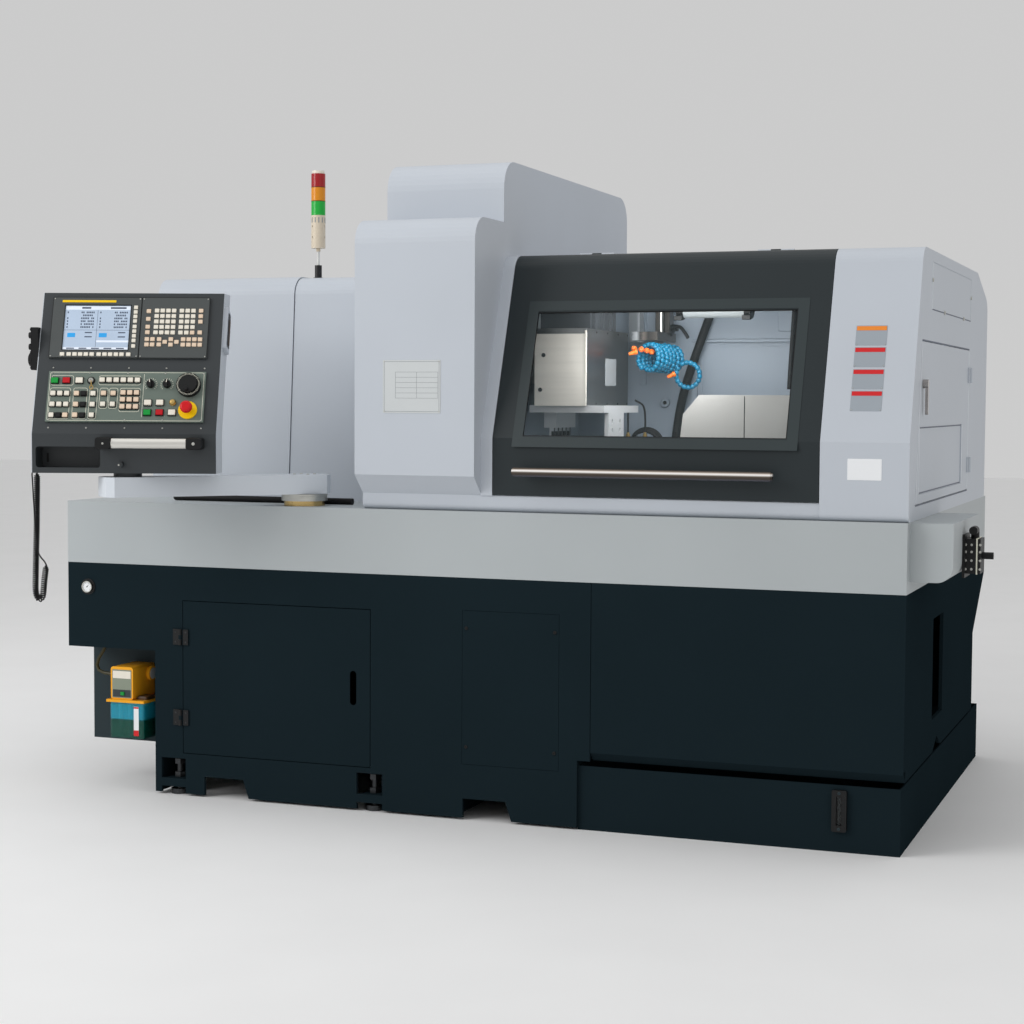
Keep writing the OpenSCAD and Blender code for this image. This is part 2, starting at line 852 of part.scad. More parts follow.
module coolant_tank() {
  inner_y = right_foot_y - tank_gap;
  plan = [[bay_x0, tank_front], [bay_x0, inner_y], [tank_arm_x, inner_y], [tank_arm_x, tank_back],
    [tank_x1, tank_back], [tank_x1, tank_front]];
  color(dark) difference() {
    linear_extrude(tank_h) polygon(plan);
    translate([0, 0, tank_wall]) linear_extrude(tank_h) polygon(inset(plan, tank_wall));
  }
}

module level_gauge() {
  color(black) difference() {
    translate([gauge_x, tank_front, gauge_z[0]]) rotate([90, 0, 0])
      soft_plate(gauge_w, gauge_z[1] - gauge_z[0], gauge_t, gauge_slot_w / 3);
    bx([gauge_x + (gauge_w - gauge_slot_w) / 2, gauge_x + (gauge_w + gauge_slot_w) / 2],
      [tank_front - gauge_t - cut, tank_front - gauge_t / 2],
      [gauge_z[0] + gauge_rim, gauge_z[1] - gauge_rim]);
  }
}

module levelling_feet() {
  color(steel) for (p = feet_at) translate([p[0], p[1], 0]) {
    cylinder(r = pad_r, h = pad_h);
    cylinder(r = bolt_r, h = bolt_top);
    translate([0, 0, boss_z[1]]) cylinder(r = nut_r, h = nut_h, $fn = 6);
    translate([0, 0, bolt_top - nut_h]) cylinder(r = nut_r, h = nut_h, $fn = 6);
  }
}

module bed_tray() {
  color(grey) difference() {
    bx([left, right], [front, rear], [tray_z, deck_z]);
    difference() {
      bx([left + tray_wall, right - tray_wall], [front + tray_wall, rear - tray_wall],
        [tray_z - cut, deck_z - tray_wall]);
      bx(chute_x + chute_wall * [-1, 1], chute_y + chute_wall * [-1, 1], [tray_z - cut, deck_z]);
    }
    bx(chute_x, chute_y, [tray_z - cut, deck_z + cut]);
  }
}

module door_frame() {
  sill = [[sill_y, deck_z], [sill_y, sill_top], [sill_y + sill_d, sill_top], [sill_y + sill_d, deck_z]];
  color(light) {
    prism_x(rounded(sill, [foot_r, 0, 0, 0]), column_x0, end_x0);
    difference() {
      prism_x(rounded(enc_pts(deck_z), enc_radii), jamb_x0, jamb_x1);
      prism_x(rounded(inset(enc_pts(deck_z - jamb_d - cut), jamb_d), less(enc_radii, jamb_d)),
        jamb_x0 - cut, jamb_x1 + cut);
      bx([jamb_x0 - cut, jamb_x1 + cut], [enc_front - cut, sill_y + jamb_d], [deck_z - cut, sill_top]);
    }
  }
}

module headstock_cover() {
  color(light) difference() {
    prism_x(rounded(head_pts(deck_z), head_radii), head_x0, join_x0);
    prism_x(rounded(inset(head_pts(deck_z - sheet - cut), sheet), less(head_radii, sheet)),
      head_x0 + sheet, join_x0 + cut);
    bar_x(bar_hole_r, [head_x0 - cut, head_x0 + sheet + cut], axis_y, axis_z);
  }
}

module joining_cover() {
  outer = inset(head_pts(deck_z - join_step), join_step);
  color(light) difference() {
    prism_x(rounded(outer, less(head_radii, join_step)), join_x0 + seam, column_x0);
    prism_x(rounded(inset(head_pts(deck_z - 2 * join_step - sheet), join_step + sheet),
      less(head_radii, join_step + sheet)), join_x0, column_x0 + cut);
  }
}

module column_cover() {
  color(light) difference() {
    prism_x(rounded(column_pts, column_radii), column_x0, jamb_x0);
    prism_x(rounded(inset(column_pts, sheet), less(column_radii, sheet)),
      column_x0 + sheet, jamb_x0 - sheet);
    bx([column_x0 + sheet, jamb_x0 - sheet], [sill_y + sill_d + sheet, column_back - sheet],
      [deck_z - cut, sill_top]);
    bx([column_x0 - cut, jamb_x0 + cut], spindle_port_y, [deck_z - cut, spindle_port_z]);
    bx([column_x0 + high_cut_in, jamb_x0 - high_cut_in],
      [high_front + high_cut_in, column_back - high_cut_in], [column_z - sheet - cut, column_z + cut]);
  }
}

module high_cover() {
  color(light) difference() {
    prism_x(rounded(high_pts(column_z), high_radii), column_x0, jamb_x0);
    prism_x(rounded(inset(high_pts(column_z - sheet - cut), sheet), less(high_radii, sheet)),
      column_x0 + sheet, jamb_x0 - sheet);
  }
}

module end_cover() {
  color(light) on_side_hinges() fixed_hinge();
  color(light) difference() {
    prism_x(rounded(enc_pts(deck_z), end_radii), end_x0, right);
    prism_x(rounded(inset(enc_pts(deck_z - sheet - cut), sheet), less(enc_radii, sheet)),
      end_x0 - cut, right - sheet);
    prism_x(inset(side_pts, -side_gap), right - sheet - cut, right + cut);
    // Groove round the screwed upper panel
    difference() {
      bx([right - groove_t, right + cut], upper_panel_y, upper_panel_z);
      bx([right - sheet, right + 2 * cut], upper_panel_y + groove_w * [1, -1],
        upper_panel_z + groove_w * [1, -1]);
    }
  }
}

module roof_panel() {
  end_h = lid_hinge_w * knuckle_share;
  leaf_z = [roof_z, roof_z + lid_leaf_t];
  color(light) {
    difference() {
      prism_x(rounded(enc_pts(deck_z), enc_radii), jamb_x1, end_x0);
      prism_x(rounded(inset(enc_pts(deck_z - sheet - cut), sheet), less(enc_radii, sheet)),
        jamb_x1 - cut, end_x0 + cut);
      bx([jamb_x1 - cut, end_x0 + cut], [enc_front - cut, door_back + seam], [deck_z - cut, roof_z + cut]);
    }
    for (x = lid_hinge_x) {
      bx(from(x, lid_hinge_w), [lid_axis_y + lid_hinge_r + seam, lid_axis_y + lid_leaf_w], leaf_z);
      for (k = [x, x + lid_hinge_w - end_h]) {
        bx(from(k, end_h), from(lid_axis_y, lid_leaf_w), leaf_z);
        bar_x(lid_hinge_r, from(k, end_h), lid_axis_y, lid_axis_z);
      }
      bar_x(lid_pin_r, from(x, lid_hinge_w), lid_axis_y, lid_axis_z);
    }
  }
}

module rear_cover() {
  x = [head_x0, jamb_x0 - seam];
  color(light) difference() {
    bx(x, [column_back, rear_cover_y], [deck_z, rear_cover_z]);
    bx([x[0] + sheet, x[1] - sheet], [column_back - cut, rear_cover_y - sheet],
      [deck_z - cut, rear_cover_z - sheet]);
    for (x0 = [x[0] + louvre_in, x[1] - louvre_in - louvre_w], i = [0 : louvre_n - 1])
      bx([x0, x0 + louvre_w], [rear_cover_y - sheet - cut, rear_cover_y + cut],
        from(louvre_z + i * louvre_pitch, louvre_h));
  }
}

module back_wall() {
  top = roof_z - sheet;
  x1 = right - side_t - side_gap;
  color(wall_blue) {
    bx([jamb_x1, x1], [wall_y, wall_y + sheet], [deck_z, top]);
    bx([wall_field_x, x1], [wall_y - wall_field_t, wall_y], [wall_field_z, top]);
    bx(from(wall_field_x, wall_strip_w), [wall_y - wall_field_t, wall_y], [deck_z, wall_field_z]);
    bar_y(wall_boss_r, wall_boss_at[0], [wall_y - wall_boss_h, wall_y], wall_boss_at[1]);
  }
}

module spindle_partition() {
  color(wall_blue) difference() {
    prism_x(rounded(inset(enc_pts(deck_z - jamb_d), jamb_d), less(enc_radii, jamb_d)),
      partition_x0, jamb_x1);
    bx([partition_x0 - cut, jamb_x1 + cut], [wall_y + sheet, enc_rear], [deck_z - cut, roof_z]);
    bx([partition_x0 - cut, jamb_x1 + cut], [enc_front, sill_y + sill_d], [deck_z - cut, sill_top]);
    bar_x(bush_r + run_fit, [partition_x0 - cut, jamb_x1 + cut], axis_y, axis_z);
  }
}

module service_box() {
  x = [right, right + service_w];
  outer = [[x[0], service_z[0]], [x[0], service_z[1]], [x[1], service_z[1]], [x[1], service_z[0]]];
  hollow = inset([[x[0] - service_wall - cut, service_z[0]], [x[0] - service_wall - cut, service_z[1]],
    [x[1], service_z[1]], [x[1], service_z[0]]], service_wall);
  color(grey) difference() {
    prism_y(rounded(outer, [0, 0, 0, service_r]), service_y[0], service_y[1]);
    prism_y(rounded(hollow, [0, 0, 0, service_r - service_wall]), service_y[0] + service_wall,
      service_y[1] - service_wall);
  }
}

module air_valve() {
  x = right + service_w;
  mid = (valve_y[0] + valve_y[1]) / 2;
  knob_x = x + valve_plate_t + valve_t;
  color(black) {
    bx([x, x + valve_plate_t], valve_y + elbow_r * [-1, 1], valve_z + elbow_r * [-1, 1]);
    bx([x + valve_plate_t, knob_x], valve_y, valve_z);
    bar_x(valve_knob_r, [knob_x, knob_x + valve_knob_len], mid, (valve_z[0] + valve_z[1]) / 2);
    bar_z(elbow_r, x + valve_plate_t + valve_t / 2, mid, [valve_z[1], valve_z[1] + elbow_h]);
    bar_y(elbow_r, x + valve_plate_t + valve_t / 2, [valve_y[0], mid], valve_z[1] + elbow_h);
  }
}

module lube_plate() {
  color(dark) bx([left, base_x0], [lube_y, lube_y + lube_plate_t], [lube_plate_z, cabinet_z]);
}

module lube_pump() {
  color([0.93, 0.66, 0.14]) {
    translate([pump_x[0], lube_y, pump_z[0]]) rotate([90, 0, 0])
      soft_plate(pump_x[1] - pump_x[0], pump_z[1] - pump_z[0], lube_y - pump_front, pump_r);
    bx(pump_flange_x, [pump_front - pump_lip, lube_y], [pump_z[0] - pump_flange_t, pump_z[0]]);
    bar_x(pump_dial_r, from(pump_x[1], pump_dial_t), pump_dial_at[0], pump_dial_at[1]);
  }
}

module lube_tank() {
  top = pump_z[0] - pump_flange_t;
  w = oil_x[1] - oil_x[0];
  d = lube_y - pump_front;
  color([0.15, 0.55, 0.62, 0.6]) translate([oil_x[0], pump_front, oil_z]) difference() {
    soft_plate(w, d, top - oil_z, oil_r);
    translate([oil_wall, oil_wall, oil_wall])
      soft_plate(w - 2 * oil_wall, d - 2 * oil_wall, top - oil_z, oil_r - oil_wall);
  }
}

module lube_hose() {
  color(black) swept(lube_hose_path, lube_hose_r, 8);
}

module pressure_gauge() {
  y = front - air_gauge_t;
  color(steel) difference() {
    bar_y(air_gauge_r, air_gauge_at[0], [y, front], air_gauge_at[1]);
    bar_y(air_gauge_r - air_gauge_rim, air_gauge_at[0], [y - cut, y + air_gauge_rim], air_gauge_at[1]);
  }
}

// Heights of the tower light's pieces, from the roof that it stands on
tower_z = head_z - join_step;
tower_body_z = tower_z + tower_foot_h + tower_rod_h + tower_neck_h;
tower_lens_z = tower_body_z + tower_body_h;
tower_cap_z = tower_lens_z + 3 * tower_lens_h;

module tower_mast() {
  translate([tower_at[0], tower_at[1], 0]) {
    color(black) {
      bar_z(tower_foot_r, 0, 0, from(tower_z, tower_foot_h));
      bar_z(tower_foot_r + tower_foot_lip, 0, 0, from(tower_z, tower_foot_lip));
    }
    color(steel) bar_z(tower_rod_r, 0, 0, from(tower_z + tower_foot_h, tower_rod_h));
    color([0.86, 0.80, 0.68]) {
      bar_z(tower_neck_r, 0, 0, [tower_body_z - tower_neck_h, tower_body_z]);
      difference() {
        bar_z(tower_r, 0, 0, [tower_body_z, tower_lens_z]);
        for (k = [1 : 2], g = [0, 120, 240]) rotate([0, 0, g])
          translate([tower_r, 0, tower_body_z + tower_body_h * k / 3])
            cube([tower_r, tower_body_slot, tower_body_slot * 2], center = true);
      }
      bar_z(tower_r - tower_inset, 0, 0, [tower_cap_z, tower_cap_z + tower_cap_h]);
    }
  }
}

module tower_lenses() {
  colors = [[0.1, 0.6, 0.2], [0.95, 0.6, 0.1], [0.75, 0.08, 0.08]];
  translate([tower_at[0], tower_at[1], 0]) for (i = [0 : 2])
    color(colors[i]) bar_z(tower_r, 0, 0,
      from(tower_lens_z + tower_lens_h * i, tower_lens_h - (i < 2 ? run_fit : 0)));
}

module work_lamp() {
  color([0.9, 0.93, 0.95]) {
    bar_x(lamp_r, lamp_x, lamp_y, lamp_z);
    for (x = [lamp_x[0], lamp_x[1] - lamp_cap_w]) {
      bar_x(lamp_cap_r, [x, x + lamp_cap_w], lamp_y, lamp_z);
      bx([x, x + lamp_strap_w], about(lamp_y, lamp_strap_t / 2), [lamp_z, roof_z - sheet]);
    }
  }
}

module conduit_hose() {
  color(black) swept(conduit_path, conduit_r, 12);
}

module coolant_hose() {
  color([0.1, 0.5, 0.8]) {
    translate([jamb_x1 + coil_in, coil_y, coil_z]) rotate([0, 0, coil_yaw]) difference() {
      bar_y(coil_r, 0, [0, coil_len], 0);
      bar_y(coil_bore_r, 0, [-cut, coil_len + cut], 0);
    }
    translate([jamb_x1 + loop_in, loop_y, loop_z]) rotate([90, 0, 0])
      rotate_extrude() translate([loop_r, 0]) circle(loop_tube_r);
  }
}

module slide_columns() {
  top = roof_z - sheet;
  color(charcoal) {
    difference() {
      bx(post_x, post_y, [post_z, top]);
      bx(post_x + post_wall * [1, -1], post_y + post_wall * [1, -1], [post_z + post_wall, top + cut]);
    }
    bx(grey_post_x, post_y, [post_z, top]);
    bar_z(rod_r, (post_x[0] + post_x[1]) / 2, post_y[0] - rod_off, [post_z, top]);
    bx([grey_post_x[0], manifold_x[1]], post_y, [post_z - manifold_h, post_z]);
    bx(manifold_x, manifold_y, [post_z - manifold_h, post_z]);
    bar_x(clamp_r / 2 - run_fit, [post_x[1], post_x[1] + clamp_h], (post_y[0] + post_y[1]) / 2, clamp_z);
  }
}

module clamp_lever() {
  y = (post_y[0] + post_y[1]) / 2;
  x = post_x[1] + gap;
  color(black) difference() {
    union() {
      bar_x(clamp_r, [x, x + clamp_h], y, clamp_z);
      translate([x + clamp_h / 2, y, clamp_z]) rotate([clamp_deg, 0, 0]) translate([0, 0, -clamp_arm_t / 2])
        rotate([0, 0, -90]) cube([clamp_arm, clamp_arm_t / 2, clamp_arm_t]);
    }
    bar_x(clamp_r / 2, [x - cut, x + clamp_h + cut], y, clamp_z);
  }
}

module guide_rails() {
  color(steel) for (side = [-1, 1], x = [head_rail_x, sub_rail_x])
    bx(x, about(axis_y + side * rail_off, rail_w / 2), [deck_z, deck_z + rail_h]);
}

module guide_bush() {
  color(steel) difference() {
    union() {
      bar_x(bush_r, [partition_x0, jamb_x1 + bush_out], axis_y, axis_z);
      bar_x(bush_flange_r, [jamb_x1, jamb_x1 + bush_flange_t], axis_y, axis_z);
    }
    bar_x(bar_r, [partition_x0 - cut, jamb_x1 + bush_out + cut], axis_y, axis_z);
  }
}

module headstock() {
  y = about(axis_y, head_block_w / 2);
  z = deck_z + rail_h + gap;
  color(grey) difference() {
    union() {
      bx(head_block_x, y, [z + runner_h, head_block_top]);
      for (side = [-1, 1])
        bx(head_block_x, about(axis_y + side * rail_off, rail_w / 2), [z, z + runner_h]);
    }
    bar_x(spindle_r + run_fit, [head_block_x[0] - cut, head_block_x[1] + cut], axis_y, axis_z);
  }
}

module main_spindle() {
  x0 = head_block_x[0] - spindle_tail;
  x1 = head_block_x[1] + spindle_nose;
  color(steel) difference() {
    union() {
      bar_x(spindle_tail_r, [x0, head_block_x[0] + cut], axis_y, axis_z);
      bar_x(spindle_r, [head_block_x[0], head_block_x[1] + spindle_step], axis_y, axis_z);
      bar_x(collet_r, [head_block_x[1], x1], axis_y, axis_z);
    }
    bar_x(bar_r, [x0 - cut, x1 + cut], axis_y, axis_z);
    for (i = [0 : collet_n - 1]) translate([x1, axis_y, axis_z]) rotate([360 * i / collet_n, 0, 0])
      bx([-collet_r, cut], [-collet_slot_w / 2, collet_slot_w / 2], [0, collet_r + cut]);
  }
}

module door_hinges() {
  color(black) for (z = hinge_z) translate([hinge_x, hinge_y, z]) fixed_hinge();
}

module base_door() {
  x = [base_door_x0, base_door_x1];
  z = [base_door_z, base_door_z + base_door_h];
  pull_x = base_door_x1 - pull_in;
  color(dark) for (h = hinge_z) translate([hinge_x, hinge_y, h]) moving_hinge();
  color(dark) difference() {
    bx(x, [front, front + base_door_t], z);
    bx(x + base_door_rim * [1, -1], [front + base_door_skin, front + base_door_t + cut],
      z + base_door_rim * [1, -1]);
    bx([pull_x - pull_w / 2, pull_x + pull_w / 2], [front - cut, front + base_door_skin + cut],
      pull_z + pull_w / 2 * [1, -1]);
    for (k = pull_z + pull_w / 2 * [1, -1])
      bar_y(pull_w / 2, pull_x, [front - cut, front + base_door_skin + cut], k);
  }
}

module tool_saddle() {
  x = [jamb_x1 + gap, jamb_x1 + gap + saddle_t];
  color(steel) difference() {
    bx(x, saddle_y, saddle_z);
    bx([x[0] + saddle_t / 2, x[1] + cut], saddle_y + saddle_edge * [1, -1] * 3, saddle_z + [-cut, cut]);
  }
}

module tool_slide_cover() {
  x = [tool_box_x, tool_box_x + tool_box_w];
  y = [tool_box_front, tool_box_front + tool_box_d];
  color(steel) difference() {
    bx(x, y, [tool_box_z, tool_box_z + tool_box_h]);
    bx(x + tool_box_wall * [1, -1], y + tool_box_wall * [1, -1],
      [tool_box_z - cut, tool_box_z + tool_box_h - tool_box_wall]);
  }
}

module tool_slide() {
  box_top = tool_box_z + tool_box_h;
  plate_x = [jamb_x1 + saddle_t + 2 * gap, tool_box_x];
  tool_y = [for (i = [0 : tool_n - 1]) tool_first_y + i * tool_pitch];
  holder_x = [tool_x - tool_holder_w / 3, tool_x - tool_holder_w / 3 + tool_holder_w];
  bracket_x = tool_box_x + gang_w;
  color(charcoal) {
    bx(plate_x, slide_plate_y, [tool_box_z - gang_t, slide_top_z]);
    bx([plate_x[0], tool_box_x + neck_w], neck_y, [box_top, slide_top_z]);
    for (k = [0 : 2]) bx(from(tool_box_x + neck_w, neck_rib_w),
      from(neck_y[0] + (neck_y[1] - neck_y[0]) * k / 3 + neck_rib_w, neck_rib_w), [box_top, slide_top_z]);
    bx([plate_x[0], bracket_x], gang_y, [tool_box_z - gang_t, tool_box_z]);
  }
  color(steel) {
    difference() {
      bx(holder_x, [tool_y[0] - tool_pitch / 2, tool_y[tool_n - 1] + tool_pitch / 2],
        [tool_holder_z, tool_box_z - gang_t]);
      for (y = tool_y)
        bx([tool_x - run_fit, tool_x + tool_size + run_fit], about(y, tool_size / 2 + run_fit),
          [tool_holder_z - cut, tool_box_z - gang_t]);
    }
    for (y = tool_y) {
      bx([tool_x, tool_x + tool_size], about(y, tool_size / 2),
        [tool_tip_z + tool_size, tool_box_z - gang_t]);
      bx([tool_x, tool_x + tool_size * tool_tip_share], about(y, tool_size / 2),
        [tool_tip_z, tool_tip_z + tool_size]);
    }
    difference() {
      bx([bracket_x - bracket_t, bracket_x], bracket_y, [bracket_z, tool_box_z - gang_t]);
      for (side = [1, 3], k = [1 : bracket_holes])
        bar_x(bracket_hole_r, [bracket_x - bracket_t - cut, bracket_x + cut],
          bracket_y[0] + (bracket_y[1] - bracket_y[0]) * side / 4,
          bracket_z + (tool_box_z - gang_t - bracket_z) * k / (bracket_holes + 1));
    }
  }
}

module sub_spindle_cover() {
  x1 = sub_x + sub_len;
  outline = [[sub_x, sub_plate_z], [sub_x, sub_step_z], [sub_x + sub_step, sub_corner_z],
    [sub_x + sub_corner_x, sub_top_z], [x1, sub_top_z], [x1, sub_plate_z]];
  color(steel) difference() {
    union() {
      difference() {
        prism_y(outline, sub_y[0], sub_y[1]);
        difference() {
          prism_y(inset(outline, sub_wall), sub_y[0] + sub_wall, sub_y[1] - sub_wall);
          bx([sub_x, x1], sub_y, [sub_plate_z, sub_plate_z + sub_plate_t]);
          bar_x(sub_bearing_r, [sub_x, sub_x + sub_bearing_len], axis_y, axis_z);
        }
      }
      for (side = [-1, 1]) bx([sub_x + sub_port, x1 - sub_port],
        about(axis_y + side * rail_off, rail_w / 2), [deck_z + rail_h + gap, sub_plate_z]);
    }
    bar_x(sub_spindle_r + run_fit, [sub_x - cut, sub_x + sub_bearing_len + cut], axis_y, axis_z);
    bx([x1 - sub_wall - cut, x1 + cut], about(axis_y, sub_port / 2), about(axis_z, sub_port / 2));
  }
}

module sub_spindle_nose() {
  tip = sub_x - sub_nose_len;
  color(steel) difference() {
    union() {
      bar_x(sub_spindle_r, [sub_x - sub_nose_len / 2, sub_x + sub_bearing_len], axis_y, axis_z);
      bar_x(collet_r, [tip, sub_x], axis_y, axis_z);
    }
    bar_x(bar_r, [tip - cut, sub_x + sub_bearing_len + cut], axis_y, axis_z);
    for (i = [0 : collet_n - 1]) translate([tip, axis_y, axis_z]) rotate([360 * i / collet_n, 0, 0])
      bx([-cut, sub_nose_len / 2], [-collet_slot_w / 2, collet_slot_w / 2], [0, collet_r + cut]);
  }
}

// The door's hinge halves, standing on its roof part
module lid_hinges() {
  mid_in = lid_hinge_w * knuckle_share + gap;
  leaf_z = [roof_z, roof_z + lid_leaf_t];
  for (x = lid_hinge_x) {
    mid = [x + mid_in, x + lid_hinge_w - mid_in];
    bx(from(x, lid_hinge_w), [lid_axis_y - lid_leaf_w, lid_axis_y - lid_hinge_r - seam], leaf_z);
    difference() {
      union() {
        bx(mid, [lid_axis_y - lid_leaf_w, lid_axis_y], leaf_z);
        bar_x(lid_hinge_r, mid, lid_axis_y, lid_axis_z);
      }
      bar_x(lid_pin_r + run_fit, [mid[0] - cut, mid[1] + cut], lid_axis_y, lid_axis_z);
    }
  }
}

module front_door() {
  x = [jamb_x1 + seam, end_x0 - seam];
  win_x0 = jamb_x1 + win_in;
  color(charcoal) lid_hinges();
  color(charcoal) difference() {
    prism_x(rounded(enc_pts(door_z), enc_radii), x[0], x[1]);
    prism_x(rounded(inset(enc_pts(door_z - door_t - cut), door_t), less(enc_radii, door_t)),
      x[0] - cut, x[1] + cut);
    bx([x[0] - cut, x[1] + cut], [door_back, enc_rear + cut], [door_z - cut, roof_z + cut]);
    on_slope() {
      translate([win_x0, win_v, -door_t - cut]) cube([win_w, win_h, door_t + 2 * cut]);
      translate([win_x0 - win_lap, win_v - win_lap, -door_t - cut])
        cube([win_w + 2 * win_lap, win_h + 2 * win_lap, door_t - door_skin + cut]);
    }
    // Hollow behind the lower skin
    bx(x + door_rim * [1, -1], [enc_front + door_skin, enc_front + door_t + cut],
      [door_z + door_rim, kink_z - door_rim * 2]);
  }
}

module door_window() {
  play = run_fit * 10;
  color([0.8, 0.9, 0.95, 0.25]) on_slope()
    translate([jamb_x1 + win_in - win_lap + play, win_v - win_lap + play, -door_skin - glass_t])
      cube([win_w + 2 * (win_lap - play), win_h + 2 * (win_lap - play), glass_t]);
}

module door_handle() {
  x = from(jamb_x1 + bar_in, bar_len);
  r = bar_d / 2;
  y = enc_front - bar_off;
  color([0.85, 0.85, 0.87]) {
    bar_x(r, x + bar_chamfer * [1, -1], y, bar_z);
    bar_x(r - bar_chamfer, x, y, bar_z);
    for (p = [x[0] + bar_post_in, x[1] - bar_post_in]) bar_y(bar_post_r, p, [y, enc_front], bar_z);
  }
}

module side_door() {
  w = side_inset_y[1] - side_inset_y[0];
  h = side_inset_z[1] - side_inset_z[0];
  color(light) on_side_hinges() moving_hinge();
  color(light) difference() {
    prism_x(side_pts, right - side_t, right);
    translate([right - side_inset_t, side_inset_y[0], side_inset_z[0]]) rotate([90, 0, 90])
      soft_plate(w, h, side_inset_t + cut, side_inset_r);
  }
}

module side_lever() {
  x = right + gap;
  color(steel) {
    bar_x(lever_boss_r, [x, x + lever_boss_h + lever_t], lever_y, lever_z);
    translate([x + lever_boss_h, lever_y - lever_w / 2, lever_z - lever_len]) rotate([90, 0, 90])
      soft_plate(lever_w, lever_len, lever_t, lever_w / 3);
  }
}

module arm_pivot() {
  color([0.75, 0.65, 0.42]) translate([pivot_at[0], pivot_at[1], 0]) {
    bar_z(pivot_r, 0, 0, [deck_z, deck_z + pivot_h]);
    bar_z(pivot_ring_r, 0, 0, [deck_z + pivot_h, arm_z - gap]);
    bar_z(pivot_pin_r, 0, 0, [arm_z - gap, arm_z + arm_pin_depth]);
  }
}

module swing_arm() {
  w = arm_w / 2;
  c = arm_chamfer;
  end = arm_len + arm_head;
  plan = [[-arm_tail, c - w], [-arm_tail, w - c], [c - arm_tail, w], [end - c, w], [end, w - c],
    [end, c - w], [end - c, -w], [c - arm_tail, -w]];
  color(light) translate([pivot_at[0], pivot_at[1], arm_z]) rotate([0, 0, 180 + arm_deg]) difference() {
    linear_extrude(arm_h) polygon(plan);
    difference() {
      translate([0, 0, -cut]) linear_extrude(arm_h - arm_wall + cut) polygon(inset(plan, arm_wall));
      bar_z(arm_boss_r, 0, 0, [-cut, arm_h]);
      bar_z(arm_boss_r, arm_len, 0, [-cut, arm_h]);
    }
    bar_z(pivot_pin_r + run_fit, 0, 0, [-cut, arm_pin_depth + gap]);
    bar_z(swivel_pin_r + run_fit, arm_len, 0, [arm_h - swivel_pin_len - gap, arm_h + cut]);
  }
}

module panel_housing() {
  w = panel_w / 2;
  outer = [[0, panel_z], [0, panel_kink_z], [panel_lean, panel_top_z], [panel_lean + panel_d, panel_top_z],
    [panel_d, panel_kink_z], [panel_d, panel_z]];
  tray_h = tray_zs[1] - tray_zs[0];
  color(charcoal) on_panel() {
    difference() {
      prism_x(outer, -w, w);
      difference() {
        prism_x(inset(outer, panel_wall), panel_wall - w, w - panel_wall);
        bx(tray_x + panel_rim * [-1, 1], [0, tray_deep + panel_rim],
          from(panel_z + tray_zs[0] - panel_rim, tray_h + 2 * panel_rim));
      }
      translate([tray_x[0], tray_deep, panel_z + tray_zs[0]]) rotate([90, 0, 0])
        soft_plate(tray_x[1] - tray_x[0], tray_h, tray_deep + cut, tray_r);
      bar_z(gland_r, gland_at[0], gland_at[1], [panel_z + run_fit, panel_z + panel_wall + cut]);
    }
    bar_y(latch_r, latch_at[0], [-latch_len, 0], panel_z + latch_at[1]);
    bar_z(swivel_r, 0, swivel_in, [panel_z - swivel_h + gap, panel_z]);
    bar_z(swivel_pin_r, 0, swivel_in, [panel_z - swivel_h - swivel_pin_len, panel_z]);
  }
}

module display_unit() {
  h = unit_v[1] - unit_v[0];
  u0 = unit_left - panel_w / 2;
  key_w = panel_w - unit_left - unit_side - display_w - unit_seam;
  color(charcoal) on_panel_face() {
    difference() {
      translate([u0, unit_v[0], 0]) cube([display_w, h, unit_t]);
      translate([u0 + screen_u[0], unit_v[0] + screen_v[0], unit_t - screen_t])
        cube([screen_u[1] - screen_u[0], screen_v[1] - screen_v[0], unit_t]);
    }
    translate([u0 + display_w + unit_seam, unit_v[0], 0]) cube([key_w, h, unit_t]);
  }
}

module operator_panel() {
  h = op_v[1] - op_v[0];
  shafts = [[estop_at, estop_stem_r], [wheel_at, wheel_shaft_r], [knob_at[0], knob_shaft_r],
    [knob_at[1], knob_shaft_r]];
  color([0.42, 0.46, 0.44]) on_panel_face() difference() {
    union() {
      translate([op_side - panel_w / 2, op_v[0], 0]) cube([panel_w - 2 * op_side, h, op_t]);
      translate([estop_at[0], estop_at[1], op_t]) cylinder(r = estop_ring_r, h = estop_ring_t);
    }
    for (s = shafts) translate([s[0][0], s[0][1], -cut])
      cylinder(r = s[1] + run_fit, h = op_t + estop_ring_t + 2 * cut);
  }
}

module estop_button() {
  z = op_t + estop_ring_t;
  color([0.8, 0.08, 0.08]) on_panel_face() translate([estop_at[0], estop_at[1], 0]) {
    bar_z(estop_stem_r, 0, 0, [estop_travel + gap, z + estop_lift]);
    translate([0, 0, z + estop_lift]) rotate_extrude()
      polygon(rounded([[0, 0], [0, estop_h], [estop_r, estop_h], [estop_r, 0]],
        [0, 0, estop_h / 2, estop_h / 6]));
  }
}

module handwheel() {
  color(black) on_panel_face() translate([wheel_at[0], wheel_at[1], 0]) difference() {
    union() {
      cylinder(r = wheel_shaft_r, h = op_t + gap);
      translate([0, 0, op_t + gap]) cylinder(r = wheel_r, h = wheel_h);
    }
    translate([0, -wheel_dimple_at, op_t + gap + wheel_h / 2]) cylinder(r = wheel_dimple_r, h = wheel_h);
  }
}

module override_knob(at) {
  color(black) on_panel_face() translate([at[0], at[1], 0]) {
    cylinder(r = knob_shaft_r, h = op_t + gap);
    translate([0, 0, op_t + gap]) cylinder(r = knob_r, h = knob_h / 2);
    bx(about(0, knob_grip_w / 2), about(0, knob_r), from(op_t + gap + knob_h / 2, knob_h / 2));
  }
}
module feed_knob() {
  override_knob(knob_at[0]);
}
module spindle_knob() {
  override_knob(knob_at[1]);
}

